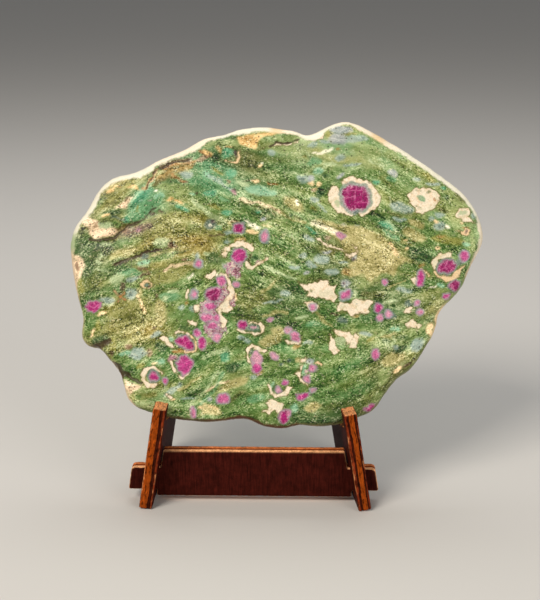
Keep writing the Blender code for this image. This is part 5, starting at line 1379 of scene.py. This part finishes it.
def stained_plywood(node_name):
    """Laser-cut plywood under a red-brown stain: dark veneer faces, paler plies on the cut edges."""
    made, tree = new_material("stained_plywood_" + node_name)
    place = add(tree, "ShaderNodeAttribute", out=1, attribute_name="place")
    depth, cut_face, bare_and_lit = (
        add(tree, "ShaderNodeAttribute", out=2, attribute_name=name)
        for name in ("ply_depth", "cut_face", "bare_and_lit"))
    stretched = add(tree, "ShaderNodeMapping", {"Vector": place, "Scale": (1.0, 1.0, 0.10)})
    dashes = add(tree, "ShaderNodeMapping", {"Vector": place, "Scale": (1.0, 1.0, 0.32)})
    grain, fleck, mottle = (
        add(tree, "ShaderNodeTexNoise", {
            "Vector": spot, "Scale": 1 / size, "Detail": detail, "Roughness": 0.6,
        })
        for spot, size, detail in (
            (stretched, WOOD_GRAIN, 3.0), (dashes, WOOD_DASH, 2.0), (place, WOOD_MOTTLE, 3.0)))
    shift = add(tree, "ShaderNodeMath", (grain, 0.05, -0.025), operation="MULTIPLY_ADD")
    at = add(tree, "ShaderNodeMath", (depth, shift), operation="ADD")
    plies = add(tree, "ShaderNodeValToRGB", (at,))
    ramp = plies.node.color_ramp
    ramp.interpolation = "CONSTANT"
    ends, names = zip(*PLIES[node_name])
    ramp.elements[0].color = tint(PLY_TINTS[names[0]])
    ramp.elements[1].position = ends[0]
    ramp.elements[1].color = tint(PLY_TINTS[names[1]])
    for start, name in zip(ends[1:], names[2:]):
        ramp.elements.new(start).color = tint(PLY_TINTS[name])
    shade = add(tree, "ShaderNodeMapRange", (grain, 0.3, 0.7, 0.6, 1.4))
    patchy = add(tree, "ShaderNodeMapRange", (mottle, 0.3, 0.7, 0.7, 1.35))
    darkened = add(tree, "ShaderNodeMapRange", (fleck, 0.37, 0.48, FLECK_SHADE[node_name], 1.06))
    tone = add(tree, "ShaderNodeMath", (shade, patchy), operation="MULTIPLY")
    dotted = add(tree, "ShaderNodeMath", (tone, darkened), operation="MULTIPLY")
    veneer = add(tree, "ShaderNodeVectorMath", {0: tint(VENEER)[:3], "Scale": tone}, operation="SCALE")
    # Bare wood where chipped, and painted light on the legs' cut faces that face up.
    chipped_and_lit = add(tree, "ShaderNodeMix", {0: bare_and_lit, 6: plies, 7: tint(BARE_AND_LIT_WOOD)}, 2, data_type="RGBA")
    edge = add(tree, "ShaderNodeVectorMath", {0: chipped_and_lit, "Scale": dotted}, operation="SCALE")
    colour = add(tree, "ShaderNodeMix", {0: cut_face, 6: veneer, 7: edge}, 2, data_type="RGBA")
    bump = add(tree, "ShaderNodeBump", {"Strength": 0.5, "Distance": 0.08 * MM, "Height": grain})
    surface = add(tree, "ShaderNodeBsdfPrincipled", {
        "Base Color": colour, "Roughness": 0.6, "Normal": bump, "IOR": 1.5, "Specular IOR Level": 0.03,
    })
    add(tree, "ShaderNodeOutputMaterial", {"Surface": surface})
    return made


# ---------------------------------------------------------------- studio


def make_floor():
    """A wide sheet of matt paper: pale, with no shine and no grain to see."""
    floor_mesh = bpy.data.meshes.new("floor")
    shape = bmesh.new()
    bmesh.ops.create_grid(shape, x_segments=1, y_segments=1, size=12.0)
    shape.to_mesh(floor_mesh)
    shape.free()
    floor = bpy.data.objects.new("floor", floor_mesh)
    bpy.context.scene.collection.objects.link(floor)
    made, tree = new_material("matt_paper")
    surface = add(tree, "ShaderNodeBsdfPrincipled", {"Base Color": tint(PAPER), "Roughness": 0.9})
    add(tree, "ShaderNodeOutputMaterial", {"Surface": surface})
    floor_mesh.materials.append(made)


def soft_box(name, place, size, power, colour):
    """A lamp with a broad face, turned to the stone."""
    light = bpy.data.lights.new(name, "AREA")
    light.shape = "RECTANGLE"
    light.size, light.size_y = size
    light.energy = power
    light.color = tint(colour)[:3]
    lamp = bpy.data.objects.new(name, light)
    bpy.context.scene.collection.objects.link(lamp)
    lamp.location = place
    lamp.rotation_euler = (Vector(LAMP_AIM) - Vector(place)).to_track_quat("-Z", "Y").to_euler()


def make_lights():
    """Soft daylight, mostly from the upper left, in a pale room."""
    for lamp in LAMPS:
        soft_box(*lamp)
    world = bpy.data.worlds.new("studio")
    world.use_nodes = True
    world.node_tree.nodes.clear()
    sky = add(world.node_tree, "ShaderNodeBackground", {"Color": tint(ROOM), "Strength": ROOM_LIGHT})
    add(world.node_tree, "ShaderNodeOutputWorld", {"Surface": sky})
    bpy.context.scene.world = world


def make_camera():
    """The camera on its round about the target."""
    azimuth, elevation, roll = (math.radians(a) for a in (VIEW_AZIMUTH, VIEW_ELEVATION, VIEW_ROLL))
    back = Vector((
        math.sin(azimuth) * math.cos(elevation),
        -math.cos(azimuth) * math.cos(elevation),
        math.sin(elevation),
    ))
    right = (-back).cross(Vector((0, 0, 1))).normalized()
    up = right.cross(-back)
    side = right * math.cos(roll) + up * math.sin(roll)
    top = up * math.cos(roll) - right * math.sin(roll)
    turn = Matrix((side, top, back)).transposed().to_4x4()
    camera = bpy.data.objects.new("camera", bpy.data.cameras.new("camera"))
    camera.data.lens = VIEW_LENS
    camera.data.sensor_width = 36.0
    camera.data.clip_start, camera.data.clip_end = 0.01, 20.0
    camera.matrix_world = Matrix.Translation((Vector(VIEW_TARGET) + back * VIEW_DISTANCE) * MM) @ turn
    bpy.context.scene.collection.objects.link(camera)
    bpy.context.scene.camera = camera
    bpy.context.scene.view_settings.view_transform = "Standard"


# ---------------------------------------------------------------- all of it

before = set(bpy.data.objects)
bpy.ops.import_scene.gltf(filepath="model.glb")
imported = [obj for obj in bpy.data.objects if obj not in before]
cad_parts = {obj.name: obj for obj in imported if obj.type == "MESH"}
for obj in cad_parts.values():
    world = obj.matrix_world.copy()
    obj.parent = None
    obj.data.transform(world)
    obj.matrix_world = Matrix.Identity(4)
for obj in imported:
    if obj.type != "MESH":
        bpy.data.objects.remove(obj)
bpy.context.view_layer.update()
make_camera()
make_lights()
make_floor()
make_stone()
make_board("left_leg", (1, 0, 0))
make_board("right_leg", (1, 0, 0))
make_board("crossbar", (0, 1, 0))
